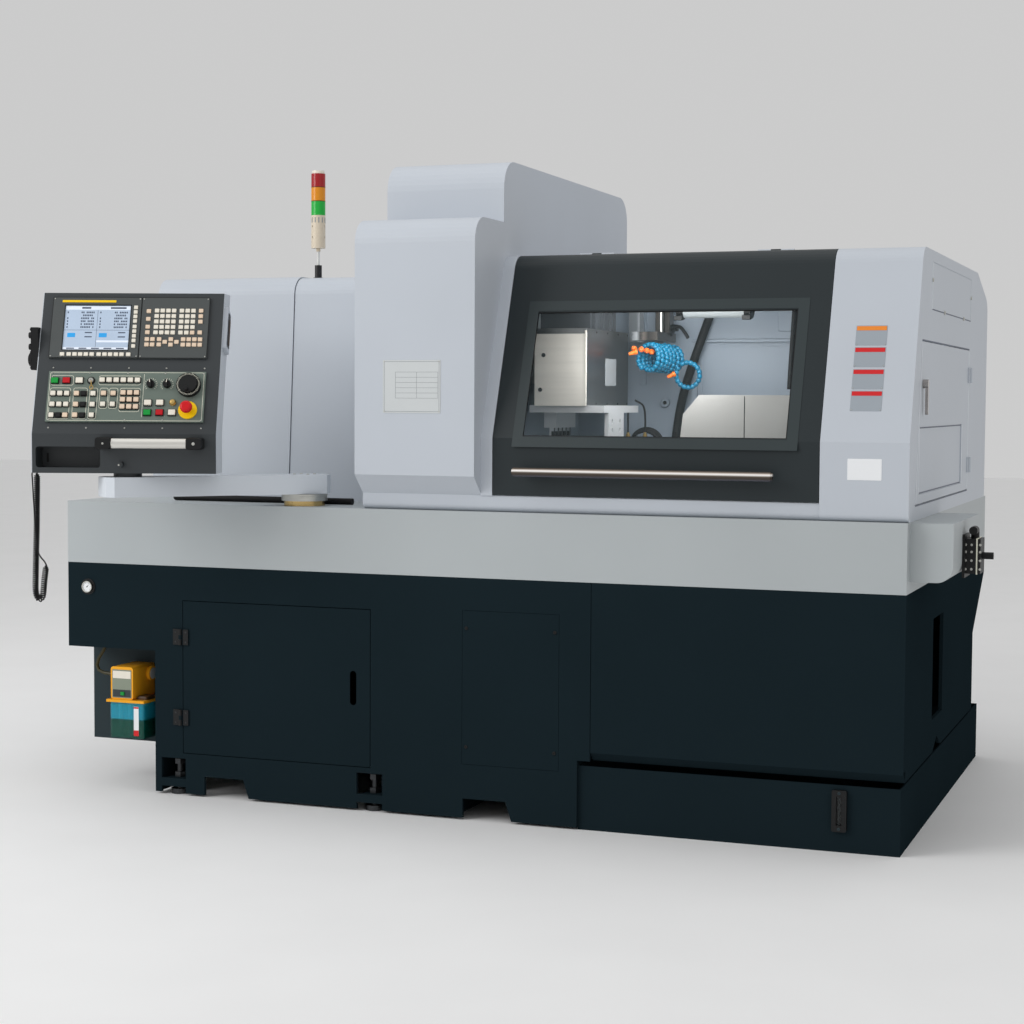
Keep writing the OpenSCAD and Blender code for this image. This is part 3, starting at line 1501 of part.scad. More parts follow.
module panel_handle() {
  z = panel_z + handle_z;
  color(steel) on_panel() {
    bar_x(handle_r, handle_u + handle_end * [1, -1], -handle_off, z);
    for (u = [handle_u[0], handle_u[1] - handle_end])
      bx([u, u + handle_end], [-handle_off - handle_r - gap, 0], about(z, handle_foot_h / 2));
  }
}

module hand_pulse_unit() {
  x = -panel_w / 2;
  y = (pulse_y[0] + pulse_y[1]) / 2;
  h = pulse_z[1] - pulse_z[0];
  z = panel_z + pulse_z[0];
  color(black) on_panel() {
    bx([x - pulse_w, x], pulse_y, [z, z + h]);
    bar_x(pulse_knob_r, [x - pulse_w - pulse_knob_h, x - pulse_w], y, z + h / 4);
    for (k = pulse_key_shares)
      bar_x(pulse_key_r, [x - pulse_w - pulse_knob_h / 2, x - pulse_w], y, z + h * k);
  }
}

module curly_cord() {
  color(black) on_panel() {
    swept(dropped(cord_run), cord_r, 10);
    swept(dropped(lead_run), lead_r, 8);
  }
}

base_frame();
left_cabinet();
front_apron();
access_panel();
coolant_tank();
level_gauge();
levelling_feet();
bed_tray();
door_frame();
headstock_cover();
joining_cover();
column_cover();
high_cover();
end_cover();
roof_panel();
rear_cover();
back_wall();
spindle_partition();
service_box();
air_valve();
lube_plate();
lube_pump();
lube_tank();
lube_hose();
pressure_gauge();
tower_mast();
tower_lenses();
work_lamp();
conduit_hose();
coolant_hose();
slide_columns();
guide_rails();
guide_bush();
door_hinges();
arm_pivot();
clamp_lever();
headstock();
main_spindle();
tool_saddle();
tool_slide_cover();
tool_slide();
sub_spindle_cover();
sub_spindle_nose();
front_door();
door_window();
door_handle();
side_door();
side_lever();
base_door();
swing_arm();
panel_housing();
display_unit();
operator_panel();
estop_button();
handwheel();
feed_knob();
spindle_knob();
panel_handle();
hand_pulse_unit();
curly_cord();
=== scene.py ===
"""Looks of a sliding-head turning lathe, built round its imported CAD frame.

Sizes in the tables are millimetres in the row frame; every mesh is built in metres.
"""

import math

import bpy
import numpy as np
from bpy.props import FloatProperty, IntProperty, PointerProperty
from mathutils import Matrix, Vector


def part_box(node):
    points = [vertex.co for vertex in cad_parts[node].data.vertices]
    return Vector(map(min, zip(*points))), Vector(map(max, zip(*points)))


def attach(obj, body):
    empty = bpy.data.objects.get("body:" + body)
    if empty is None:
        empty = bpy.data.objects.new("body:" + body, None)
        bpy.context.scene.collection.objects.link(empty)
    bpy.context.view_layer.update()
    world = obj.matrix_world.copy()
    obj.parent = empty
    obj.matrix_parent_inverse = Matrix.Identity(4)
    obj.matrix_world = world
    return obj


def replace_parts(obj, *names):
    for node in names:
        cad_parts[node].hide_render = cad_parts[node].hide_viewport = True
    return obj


bl_info = {
    "name": "Turning lathe looks",
    "version": (1, 0, 0),
    "blender": (4, 5, 0),
    "location": "3D View > Sidebar > Lathe",
    "description": "Builds the finishes and small pieces of a turning lathe round its frame",
    "category": "Object",
}

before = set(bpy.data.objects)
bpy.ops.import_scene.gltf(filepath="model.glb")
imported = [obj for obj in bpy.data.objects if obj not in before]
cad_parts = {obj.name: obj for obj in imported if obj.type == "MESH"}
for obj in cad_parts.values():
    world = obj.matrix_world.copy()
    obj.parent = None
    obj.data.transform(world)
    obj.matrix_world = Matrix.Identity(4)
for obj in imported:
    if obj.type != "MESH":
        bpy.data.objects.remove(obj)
MM = 0.001

# Colours as seen, 0 to 255
PAINT_DARK = (27, 38, 43)
PAINT_LIGHT = (194, 200, 208)
PAINT_GREY = (178, 184, 186)
CHARCOAL = (56, 63, 66)
DOOR = (36, 44, 47)
BLACK = (16, 17, 18)
STEEL = (196, 196, 190)
CREAM = (236, 230, 216)
BEIGE = (230, 207, 183)
WALL = (148, 160, 172)


# Parametric surfaces


def quads(rows, cols, wrap):
    """Faces of a grid of points, row by row; wrap joins its last column to its first."""
    last = cols if wrap else cols - 1
    i, j = np.meshgrid(np.arange(rows - 1), np.arange(last), indexing="ij")
    a, b = i * cols + j, i * cols + (j + 1) % cols
    return np.stack([a, b, b + cols, a + cols], axis=-1).reshape(-1, 4).tolist()


def loft(rings, caps=True):
    """Skin through a stack of closed rings: row i is ring i, column j its j-th point; caps close both ends flat."""
    rings = np.asarray(rings, float)
    rows, cols = rings.shape[:2]
    faces = quads(rows, cols, True)
    if caps:
        faces.append(list(range(cols))[::-1])
        faces.append(list(range((rows - 1) * cols, rows * cols)))
    return rings.reshape(-1, 3), faces


def ring_of(w, h, r, z, steps=4):
    """Points of a rounded rectangle round the origin at height z: a quarter circle of radius r at each corner."""
    r = max(min(r, w / 2 - 1e-6, h / 2 - 1e-6), 1e-6)
    t = np.linspace(0, math.pi / 2, steps + 1)
    out = []
    for k, (sx, sy) in enumerate(((1, 1), (-1, 1), (-1, -1), (1, -1))):
        g = t + k * math.pi / 2
        x, y = sx * (w / 2 - r) + r * np.cos(g), sy * (h / 2 - r) + r * np.sin(g)
        out.append(np.stack([x, y, 0 * g + z], axis=-1))
    return np.concatenate(out)


def pad(w, h, t, r=2.0, bevel=0.6):
    """A plate or key cap: one rounded rectangle lofted up to height t, its top edge drawn in by the bevel."""
    b = min(bevel, t * 0.6, w / 4, h / 4)
    rim = ring_of(w - b * 1.4, h - b * 1.4, max(r - b * 0.7, 0.1), t)
    return loft([ring_of(w, h, r, 0), ring_of(w, h, r, t - b), rim])


def hoop(w, h, width, t, r=4.0):
    """A flat frame: outer and inner rounded rectangles joined over a top at height t."""
    wi, hi, ri = w - 2 * width, h - 2 * width, max(r - width, 0.2)
    rings = [ring_of(w, h, r, 0), ring_of(w, h, r, t), ring_of(wi, hi, ri, t), ring_of(wi, hi, ri, 0)]
    return loft(rings, caps=False)


def lathe(profile, sides=28, caps=True):
    """A turned shape: each (radius, height) of the profile swept once round Z."""
    g = np.arange(sides) * 2 * math.pi / sides
    rings = [np.stack([r * np.cos(g), r * np.sin(g), 0 * g + z], axis=-1) for r, z in profile]
    return loft(rings, caps)


def smooth_path(points, per=10):
    """A Catmull-Rom curve through the points, with a fixed number of steps between each pair."""
    p = np.asarray(points, float)
    p = np.vstack([2 * p[0] - p[1], p, 2 * p[-1] - p[-2]])
    out = []
    for a, b, c, d in zip(p[:-3], p[1:-2], p[2:-1], p[3:]):
        t = np.linspace(0, 1, per, endpoint=False)[:, None]
        out.append(0.5 * (2 * b + (c - a) * t + (2 * a - 5 * b + 4 * c - d) * t**2 + (3 * b - a - 3 * c + d) * t**3))
    return np.vstack(out + [p[-2:-1]])


def frames_along(path):
    """Tangent and two normals at each point, carried along the path without twist."""
    tangent = np.gradient(path, axis=0)
    tangent /= np.linalg.norm(tangent, axis=1)[:, None]
    normal = np.zeros_like(path)
    seed = np.array([0.0, 1.0, 0.0]) if abs(tangent[0][1]) < 0.9 else np.array([1.0, 0.0, 0.0])
    normal[0] = seed - tangent[0] * (seed @ tangent[0])
    normal[0] /= np.linalg.norm(normal[0])
    for i in range(1, len(path)):
        n = normal[i - 1] - tangent[i] * (normal[i - 1] @ tangent[i])
        normal[i] = n / np.linalg.norm(n)
    return tangent, normal, np.cross(tangent, normal)


def tube(path, radius, sides=12):
    """A pipe along a path: at each point a circle across it, of one radius or of a radius for each point."""
    path = np.asarray(path, float)
    _, a, b = frames_along(path)
    g = np.arange(sides) * 2 * math.pi / sides
    r = np.broadcast_to(np.asarray(radius, float), (len(path),))[:, None, None]
    ring = np.cos(g)[None, :, None] * a[:, None, :] + np.sin(g)[None, :, None] * b[:, None, :]
    return loft(path[:, None, :] + r * ring)


def lengths(path):
    """The distance along a path to each of its points."""
    return np.concatenate([[0], np.cumsum(np.linalg.norm(np.diff(path, axis=0), axis=1))])


def evenly(path, count):
    """A path again as a count of evenly spaced points, and the distance along it to each."""
    s = lengths(path)
    at_s = np.linspace(0, s[-1], count)
    return np.stack([np.interp(at_s, s, path[:, k]) for k in range(3)], axis=-1), at_s


def beads(path, r, pitch, sides=12):
    """A chain of balls along a path, as one pipe whose radius follows a row of half circles of the given pitch."""
    count = max(int(round(lengths(path)[-1] / pitch)), 1)
    dense, at_s = evenly(path, count * 10 + 1)
    phase = (at_s * count / at_s[-1]) % 1.0
    return tube(dense, r * (0.52 + 0.48 * np.sqrt(np.clip(1 - (2 * phase - 1) ** 2, 0, 1))), sides)


# Faces that pieces stand on, each with X along it, Y up it and Z out of it


def basis(origin, along, up):
    """A 4 by 4 matrix from an origin and two directions on a face; the third points out of it."""
    x = np.array(along, float) / np.linalg.norm(along)
    z = np.cross(x, np.array(up, float))
    z /= np.linalg.norm(z)
    m = np.eye(4)
    m[:3, 0], m[:3, 1], m[:3, 2], m[:3, 3] = x, np.cross(z, x), z, origin
    return m


def move(x, y, z=0.0, turn=0.0):
    """A shift on a face, after a turn about the face's own normal in degrees."""
    c, s = math.cos(math.radians(turn)), math.sin(math.radians(turn))
    return np.array([[c, -s, 0, x], [s, c, 0, y], [0, 0, 1, z], [0, 0, 0, 1.0]])


def around(at, r, count, start, step):
    """Places on a circle about a point, from a start angle by equal steps: x, y and the angle in degrees."""
    for g in start + step * np.arange(count):
        yield at[0] + r * math.cos(math.radians(g)), at[1] + r * math.sin(math.radians(g)), g


def front(y):
    """The face of a front wall at depth y: X to the right, Y up."""
    return basis((0, y, 0), (1, 0, 0), (0, 0, 1))


def side(x):
    """The face of a right-hand wall at x: X to the back, Y up."""
    return basis((x, 0, 0), (0, 1, 0), (0, 0, 1))


def top(z):
    """A level face at height z: X to the right, Y to the back."""
    return basis((0, 0, z), (1, 0, 0), (0, 1, 0))


def panel_point(p):
    """A point of the panel's own frame in the row frame."""
    return P_O + p[0] * P_X + p[1] * P_Y + np.array([0, 0, p[2]])


def corner(node, end):
    """The low (0) or high (1) corner of a CAD node's box at rest, in millimetres."""
    return np.array(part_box(node)[end]) / MM


# The control panel: its swivel, its turn, how far its front and its sides stand off the swivel, and its leaning face
UP = np.array([0, 0, 1.0])
SWIVEL = np.array([-1001.2, -1315.8, 0])
PANEL_DEG, PANEL_REACH, PANEL_HALF, PANEL_Z = 19.8, 64, 300, 1138.3
KINK_Z, FACE_BACK, FACE_RISE = 1266.3, 179, 463
PANEL_LEAN = math.atan2(FACE_BACK, FACE_RISE)
P_X = np.array([math.cos(math.radians(PANEL_DEG)), math.sin(math.radians(PANEL_DEG)), 0])
P_Y = np.array([-P_X[1], P_X[0], 0])
P_O = SWIVEL - PANEL_REACH * P_Y
FACE = basis(P_O + KINK_Z * UP, P_X, P_Y * math.sin(PANEL_LEAN) + UP * math.cos(PANEL_LEAN))
PANEL_FRONT = basis(P_O, P_X, UP)
PANEL_SIDE = basis(P_O + PANEL_HALF * P_X, P_Y, UP)
PANEL_LEFT = basis(P_O - PANEL_HALF * P_X, -P_Y, UP)
UNIT_T = 8.0

# The machine's faces: fronts of the covers, the column and the base, right-hand end, deck, and the door's leaning front
COVER_Y, COLUMN_Y, BASE_Y = (corner(n, 0)[1] for n in ("end_cover", "column_cover", "base_frame"))
END_X, _, DECK_Z = corner("bed_tray", 1)
PIVOT_AT = (-592, -850)
SLOPE_Z, SLOPE_BACK = 1260, 0.355
SLOPE = basis((0, COVER_Y, SLOPE_Z), (1, 0, 0), (0, SLOPE_BACK, 1))

# Thin plates: thickness, corner radius and rounding of the edge
FILM, DASH, HAIR, EDGE_HIGHLIGHT, GAP_AND_SHADE_LINE = (0.4, 0.5, 0.1), (0.3, 0.4, 0.1), (0.3, 0.2, 0.1), (0.8, 0.5, 0.3), (0.5, 0.5, 0.2)


# Materials


def linear(rgb):
    """The scene-linear value of a colour given as seen, 0 to 255."""
    c = np.array(rgb, float) / 255
    return tuple(np.where(c <= 0.04045, c / 12.92, ((c + 0.055) / 1.055) ** 2.4)) + (1.0,)


class Look:
    """A small builder for one node material."""

    def __init__(self, name):
        self.mat = bpy.data.materials.new(name)
        self.mat.use_nodes = True
        self.nodes, self.links = self.mat.node_tree.nodes, self.mat.node_tree.links
        self.shader = next(n for n in self.nodes if n.type == "BSDF_PRINCIPLED")
        self.coords = self.nodes.new("ShaderNodeTexCoord").outputs["Object"]

    def give(self, node, **inputs):
        """Sets a node's inputs, each to a value or to another node's output; _ in a name stands for a space."""
        for name, value in inputs.items():
            socket = node.inputs[name.replace("_", " ")]
            if isinstance(value, bpy.types.NodeSocket):
                self.links.new(value, socket)
            else:
                socket.default_value = value
        return node

    def shade(self, **inputs):
        """Sets inputs of the material's shader."""
        self.give(self.shader, **inputs)

    def noise(self, scale, stretch=(1, 1, 1), detail=2.0):
        """Noise over the object's own place, drawn out along an axis by a stretch below one."""
        place = self.give(self.nodes.new("ShaderNodeMapping"), Scale=stretch, Vector=self.coords).outputs["Vector"]
        return self.give(self.nodes.new("ShaderNodeTexNoise"), Scale=scale, Detail=detail, Vector=place).outputs["Fac"]

    def ramp(self, value, stops, constant=False):
        """A colour ramp over a value; stops are (place, colour)."""
        node = self.give(self.nodes.new("ShaderNodeValToRGB"), Fac=value)
        ramp = node.color_ramp
        ramp.interpolation = "CONSTANT" if constant else "LINEAR"
        while len(ramp.elements) < len(stops):
            ramp.elements.new(0.5)
        for e, (place, colour) in zip(ramp.elements, stops):
            e.position, e.color = place, colour
        return node.outputs["Color"]

    def drift(self, value, rgb, share, edge=0.3):
        """A colour that goes from darker to lighter by a share, while a value goes from an edge to its mirror."""
        return self.ramp(value, [(edge, tint(rgb, 1 - share)), (1 - edge, tint(rgb, 1 + share))])

    def along(self, axis, low, high):
        """How far a point lies along an axis, 0 at low and 1 at high, in metres."""
        dot = self.nodes.new("ShaderNodeVectorMath")
        dot.operation = "DOT_PRODUCT"
        dot.inputs[1].default_value = axis
        self.links.new(self.coords, dot.inputs[0])
        node = self.nodes.new("ShaderNodeMapRange")
        return self.give(node, From_Min=low, From_Max=high, Value=dot.outputs["Value"]).outputs["Result"]

    def scaled(self, value, low, high):
        """A 0 to 1 value spread between two numbers."""
        return self.give(self.nodes.new("ShaderNodeMapRange"), To_Min=low, To_Max=high, Value=value).outputs["Result"]

    def bump(self, value, strength, distance):
        """Raises the surface by a value."""
        node = self.give(self.nodes.new("ShaderNodeBump"), Strength=strength, Distance=distance, Height=value)
        self.shade(Normal=node.outputs["Normal"])


def tint(rgb, share):
    """A colour made lighter or darker by a share."""
    c = linear(rgb)
    return tuple(min(x * share, 1.0) for x in c[:3]) + (1.0,)


def paint(name, rgb, rough=0.45, grain=420.0, depth=0.00025, cloud=0.05, metal=0.0, gloss=0.3):
    """Coated metal or plastic: a fine orange-peel grain, and a slow drift of tone and gloss over the piece."""
    look = Look(name)
    slow = look.noise(2.2)
    look.shade(Base_Color=look.drift(slow, rgb, cloud), Roughness=look.scaled(slow, rough - 0.05, rough + 0.05),
               Metallic=metal, Specular_IOR_Level=gloss)
    if depth:
        look.bump(look.noise(grain), 0.35, depth)
    return look.mat


def brushed(name, rgb, stretch, rough=0.32, cloud=0.12, scale=60.0, metal=1.0):
    """Bare metal with grinding lines: noise drawn out along one axis moves both the tone and the gloss."""
    look = Look(name)
    lines = look.noise(scale, stretch, 4.0)
    look.shade(Base_Color=look.drift(lines, rgb, cloud, 0.25), Metallic=metal,
               Roughness=look.scaled(lines, rough - 0.08, rough + 0.12))
    look.bump(lines, 0.12, 0.0002)
    return look.mat


def clear(name, rgb, alpha, rough=0.04):
    """Clear sheet: mostly see-through, with a faint waviness in its gloss."""
    look = Look(name)
    wave = look.noise(3.0)
    look.shade(Base_Color=look.drift(wave, rgb, 0.05), Roughness=look.scaled(wave, rough, rough + 0.03), Alpha=alpha)
    return look.mat


def glow(name, rgb, strength, rough=0.3, top=None):
    """A lit surface: its own light in a colour that drifts a little over it, up to a height where bare metal starts."""
    look = Look(name)
    colour = look.drift(look.noise(6.0), rgb, 0.05)
    look.shade(Emission_Color=colour, Emission_Strength=strength, Roughness=rough)
    if top:
        above = look.along((0, 0, 1), top, top + 0.001)
        look.shade(Emission_Strength=look.scaled(above, strength, 0.0))
        colour = look.ramp(above, [(0.0, linear(rgb)), (0.5, linear(CHARCOAL))], True)
    look.shade(Base_Color=colour)
    return look.mat


def banded(name, axis, low, high, stops, rough=0.4, metal=0.0, alpha=1.0, sharp=True):
    """Colour bands along an axis, sharp or run together, with a fine grain over them: several finishes on one node, and
    painted reflections on the door handle and the slide's columns.
    """
    look = Look(name)
    bands = look.ramp(look.along(axis, low, high), [(p, linear(c)) for p, c in stops], sharp)
    grain = look.noise(300.0)
    look.shade(Base_Color=bands, Roughness=look.scaled(grain, rough - 0.05, rough + 0.05), Metallic=metal, Alpha=alpha)
    look.bump(grain, 0.2, 0.0001)
    return look.mat


# Plain paints and plastics by the fineness of their grain: name, colour and roughness
PAINTS = {
    400: {
        "amber": ("pump_yellow", (246, 172, 30), 0.35), "orange": ("orange_plastic", (250, 120, 30), 0.35),
        "brown": ("brown_cap", (74, 52, 30), 0.4),
    },
    420: {
        "charcoal": ("charcoal_paint", CHARCOAL, 0.5), "door": ("door_paint", DOOR, 0.42),
        # The edge paint is a painted highlight, laid along lit edges of the end cover.
        "band": ("door_band", (50, 59, 61), 0.4), "edge": ("painted_edge_highlight", (226, 230, 236), 0.4),
    },
    500: {
        "black": ("black_plastic", BLACK, 0.45), "white": ("white_key", CREAM, 0.4),
        "beige": ("beige_key", BEIGE, 0.4), "green": ("green_key", (20, 150, 60), 0.35),
        "redkey": ("red_key", (190, 20, 30), 0.35), "yellow": ("yellow_plastic", (252, 206, 0), 0.4),
        "line": ("cream_line", (226, 226, 208), 0.5), "plate": ("grey_plate", (160, 168, 176), 0.5),
        "header": ("red_header", (214, 36, 40), 0.5), "header2": ("orange_header", (240, 140, 50), 0.5),
        "paper": ("white_plate", (240, 242, 244), 0.45), "pump_film": ("pump_film", (138, 146, 130), 0.45),
        "rule": ("plate_rule", (150, 155, 158), 0.5), "hose": ("oil_hose", (58, 54, 26), 0.4),
        # The dash paint is the display's print, and also the end cover's gap lines and painted shade lines.
        "dash": ("screen_dash_and_shade_line", (74, 84, 104), 0.4),
    },
    600: {
        "rubber": ("black_rubber", (14, 14, 15), 0.6), "unit": ("unit_plastic", (76, 80, 80), 0.5),
        "op": ("operator_film", (106, 118, 110), 0.5),
    },
}
# Bands of nodes in several finishes, and bands of painted reflection on the door handle and the slide's columns: the
# place where each starts, as a share of the reach, and its colour
CHROME_REFLECTION_BANDS = [(0.0, (70, 72, 82)), (0.16, (76, 74, 80)), (0.24, (58, 50, 44)), (0.42, (62, 52, 42)),
                (0.5, (96, 84, 72)), (0.58, (190, 186, 180)), (0.66, (252, 249, 246)), (0.72, (250, 246, 242)),
                (0.78, (200, 188, 178)), (0.87, (100, 86, 74)), (1.0, (80, 76, 70))]
POST_TONE_AND_REFLECTION_BANDS = [(0.0, (120, 126, 130)), (0.14, (196, 202, 206)), (0.3, (92, 96, 100)), (0.44, (150, 155, 158)),
              (0.54, (40, 40, 40)), (0.64, (100, 94, 88)), (0.76, (30, 29, 28)), (1.0, (66, 62, 58))]
MAST_BANDS = [(0.0, (18, 18, 19)), (0.1268, (226, 226, 222)), (0.2535, (222, 208, 186)), (0.94, (236, 230, 214))]
LENS_BANDS = [(0.0, (14, 176, 58)), (0.3333, (226, 142, 10)), (0.6667, (164, 10, 18))]
HOUSING_BANDS = [(0.0, (196, 201, 207)), (0.0035, (48, 53, 56)), (0.9965, (196, 201, 207))]
OIL_BANDS = [(0.0, (0, 86, 72)), (0.52, (30, 168, 196))]
TURRET_BANDS = [(0.0, (205, 208, 210)), (0.277, (62, 66, 70))]
PIVOT_BANDS = [(0.0, (206, 178, 120)), (0.17, (92, 96, 100))]
MATS = {}


def rise(node):
    """A CAD node's reach along Z, as the axis and its two ends in metres."""
    return (0, 0, 1), corner(node, 0)[2] * MM, corner(node, 1)[2] * MM


def make_materials():
    """Every finish once, by name."""
    m = MATS
    for grain, rows in PAINTS.items():
        for key, (name, rgb, rough) in rows.items():
            m[key] = paint(name, rgb, rough, grain)
    m["dark"] = paint("dark_paint", PAINT_DARK, 0.6, cloud=0.04, gloss=0.0)
    m["light"] = paint("light_paint", PAINT_LIGHT, 0.42, cloud=0.02)
    # The arm: the covers' light paint made about a tenth lighter, painted light that makes up for the shade on the arm.
    m["arm"] = paint("arm_paint_lightened", (212, 218, 225), 0.42, cloud=0.02)
    m["grey"] = paint("grey_paint", PAINT_GREY, 0.45, cloud=0.02)
    m["wall"] = paint("wall_paint", WALL, 0.4, cloud=0.03)
    m["red"] = paint("red_plastic", (205, 20, 28), 0.25, 300, 0.00005)
    m["blue"] = paint("blue_plastic", (0, 112, 148), 0.16, 300, 0.00005, 0.1, gloss=0.45)
    m["steel_x"] = brushed("steel_along", STEEL, (0.03, 1, 1))
    m["steel_z"] = brushed("steel_upright", STEEL, (1, 1, 0.03))
    m["sheet"] = brushed("steel_sheet", (208, 206, 198), (1, 1, 0.05), 0.38)
    m["chrome"] = brushed("chrome_bar", (176, 170, 166), (0.02, 1, 1), 0.12, 0.05)
    # The door handle: painted reflection, bands of light and dark along its height in place of chrome mirroring its
    # surroundings.
    m["bar"] = banded("chrome_painted_reflection", *rise("door_handle"), CHROME_REFLECTION_BANDS, 0.25, 0.15, sharp=False)
    m["silver"] = paint("silver_plate", (204, 208, 209), 0.4, 500, 0.00005, 0.03)
    m["dim"] = brushed("dark_steel", (70, 72, 74), (1, 1, 0.1), 0.4)
    m["plate_dark"] = paint("lube_plate_paint", (52, 62, 66), 0.5, gloss=0.05)
    m["side_sheet"] = brushed("box_side", (128, 130, 130), (1, 0.04, 1), 0.42)
    m["bright"] = brushed("box_front", (246, 242, 232), (0.05, 1, 1), 0.4, 0.05, metal=0.1)
    m["guard"] = paint("guard_sheet", (206, 206, 202), 0.4, 260, 0.00008, 0.05, 0.2)
    m["alu"] = brushed("aluminium_bar", (222, 220, 214), (0.05, 0.05, 1), 0.4, 0.05)
    m["brass"] = brushed("brass_turned", (200, 168, 104), (1, 1, 0.2), 0.3)
    m["glass"] = clear("window_glass", (190, 210, 215), 0.025)
    m["teal"] = banded("oil_tank_plastic", *rise("lube_tank"), OIL_BANDS, 0.12, alpha=0.5)
    m["pipe"] = clear("oil_pipe", (150, 215, 225), 0.7, 0.1)
    m["oil"] = clear("oil", (8, 84, 62), 0.6, 0.1)
    m["lamp"] = glow("lamp_tube", (150, 156, 158), 0.2, top=1.726)
    m["screen"] = glow("screen_field", (172, 188, 208), 0.22)
    m["head"] = glow("screen_head", (216, 224, 236), 0.3)
    m["icon"] = glow("screen_icon", (40, 150, 215), 0.3)
    ends = (P_O @ P_X - PANEL_HALF) * MM, (P_O @ P_X + PANEL_HALF) * MM
    m["housing"] = banded("panel_paint", tuple(P_X), *ends, HOUSING_BANDS)
    m["turret"] = banded("tool_slide_finish", (0, 0, 1), 1.2, 1.8, TURRET_BANDS)
    # The slide's columns: their own chrome and black tones, with painted reflection bands of light and dark across
    # their width.
    m["posts"] = banded("post_tone_and_painted_reflection", (1, 0, 0), 0.38, 0.51, POST_TONE_AND_REFLECTION_BANDS, 0.3, 0.3, sharp=False)
    m["pivot"] = banded("pivot_finish", (0, 0, 1), DECK_Z * MM, DECK_Z * MM + 0.1, PIVOT_BANDS, 0.25, 1.0)
    m["mast"] = banded("mast_finish", *rise("tower_mast"), MAST_BANDS, 0.35)
    m["lens"] = banded("lens_plastic", *rise("tower_lenses"), LENS_BANDS, 0.2)


NODE_LOOKS = {
    "dark": "base_frame left_cabinet front_apron access_panel coolant_tank base_door",
    "plate_dark": "lube_plate",
    "hose": "lube_hose",
    "dim": "levelling_feet",
    "turret": "tool_slide",
    "posts": "slide_columns",
    "side_sheet": "tool_slide_cover",
    "guard": "sub_spindle_cover",
    "light": "door_frame headstock_cover joining_cover column_cover high_cover end_cover roof_panel rear_cover "
             "side_door",
    "arm": "swing_arm",
    "grey": "bed_tray service_box headstock",
    "door": "front_door",
    "wall": "back_wall spindle_partition",
    "housing": "panel_housing",
    "unit": "display_unit",
    "op": "operator_panel",
    "black": "level_gauge air_valve clamp_lever handwheel feed_knob spindle_knob hand_pulse_unit door_hinges",
    "rubber": "conduit_hose curly_cord",
    "steel_x": "guide_rails guide_bush main_spindle sub_spindle_nose tool_saddle pressure_gauge panel_handle",
    "bar": "door_handle",
    "chrome": "side_lever",
    "pivot": "arm_pivot",
    "amber": "lube_pump",
    "teal": "lube_tank",
    "glass": "door_window",
    "lamp": "work_lamp",
    "mast": "tower_mast",
    "lens": "tower_lenses",
    "red": "estop_button",
    "blue": "coolant_hose",
}


class Kit:
    """Gathers patches of one finish into one mesh that rides on one body."""

    def __init__(self, name, body, look, slot=None, sharp=35.0):
        self.name, self.body, self.look, self.slot, self.sharp = name, body, look, slot, sharp
        self.points, self.faces, self.count = [], [], 0

    def add(self, patch, *matrices):
        """Adds a patch in millimetres, after the matrices from last to first."""
        points, faces = patch
        m = np.eye(4)
        for k in matrices:
            m = m @ k
        self.points.append(points @ m[:3, :3].T + m[:3, 3])
        self.faces += [[i + self.count for i in f] for f in faces]
        self.count += len(points)
        return self

    def done(self):
        """Makes the mesh object, in metres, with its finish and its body."""
        mesh = bpy.data.meshes.new(self.name)
        mesh.from_pydata((np.vstack(self.points) * MM).tolist(), [], self.faces)
        mesh.validate()
        mesh.shade_smooth()
        mesh.set_sharp_from_angle(angle=math.radians(self.sharp))
        obj = bpy.data.objects.new(self.name, mesh)
        bpy.context.scene.collection.objects.link(obj)
        mesh.materials.append(MATS[self.look])
        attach(obj, self.body)
        return obj


def screw_head(r=3.0, h=1.6):
    """A round screw head with a hollow for the key."""
    return lathe([(r, 0), (r, h * 0.6), (r * 0.8, h), (r * 0.42, h), (r * 0.4, h * 0.4), (0.05, h * 0.4)], 14)


def plates(name, body, look, face, rows, slot=None):
    """Plates on a face as one piece; a row is width, height, thickness, corner, edge, and a place as in move."""
    kit = Kit(name, body, look, slot)
    for w, h, t, r, edge, *place in rows:
        kit.add(pad(w, h, t, r, edge), face, move(*place))
    return kit.done()


def screws(name, body, look, face, r, h, places):
    """Equal screws on a face as one piece."""
    kit = Kit(name, body, look)
    for place in places:
        kit.add(screw_head(r, h), face, move(*place))
    return kit.done()


def turned(name, body, look, face, place, profile, sides=28, caps=True):
    """One turned piece on a face."""
    return Kit(name, body, look).add(lathe(profile, sides, caps), face, move(*place)).done()


# Operators: one for each group of pieces


class LatheSettings(bpy.types.PropertyGroup):
    """Sizes that can be changed from the sidebar."""

    bead_radius: FloatProperty(name="Hose bead radius", default=9.0, min=5.0, max=12.0)
    cord_turns: IntProperty(name="Cord turns", default=84, min=60, max=110)
    key_height: FloatProperty(name="Key height", default=4.0, min=2.0, max=8.0)


def settings():
    """The scene's settings."""
    return bpy.context.scene.lathe_looks


class LATHE_OT_finishes(bpy.types.Operator):
    """Gives every CAD node its procedural finish"""

    bl_idname = "lathe.finishes"
    bl_label = "Finishes"

    def execute(self, context):
        make_materials()
        given = set()
        for look, names in NODE_LOOKS.items():
            for n in names.split():
                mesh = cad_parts[n].data
                mesh.materials.clear()
                mesh.materials.append(MATS[look])
                given.add(n)
        missing = set(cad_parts) - given
        if missing:
            raise RuntimeError(f"no finish for {sorted(missing)}")
        return {"FINISHED"}


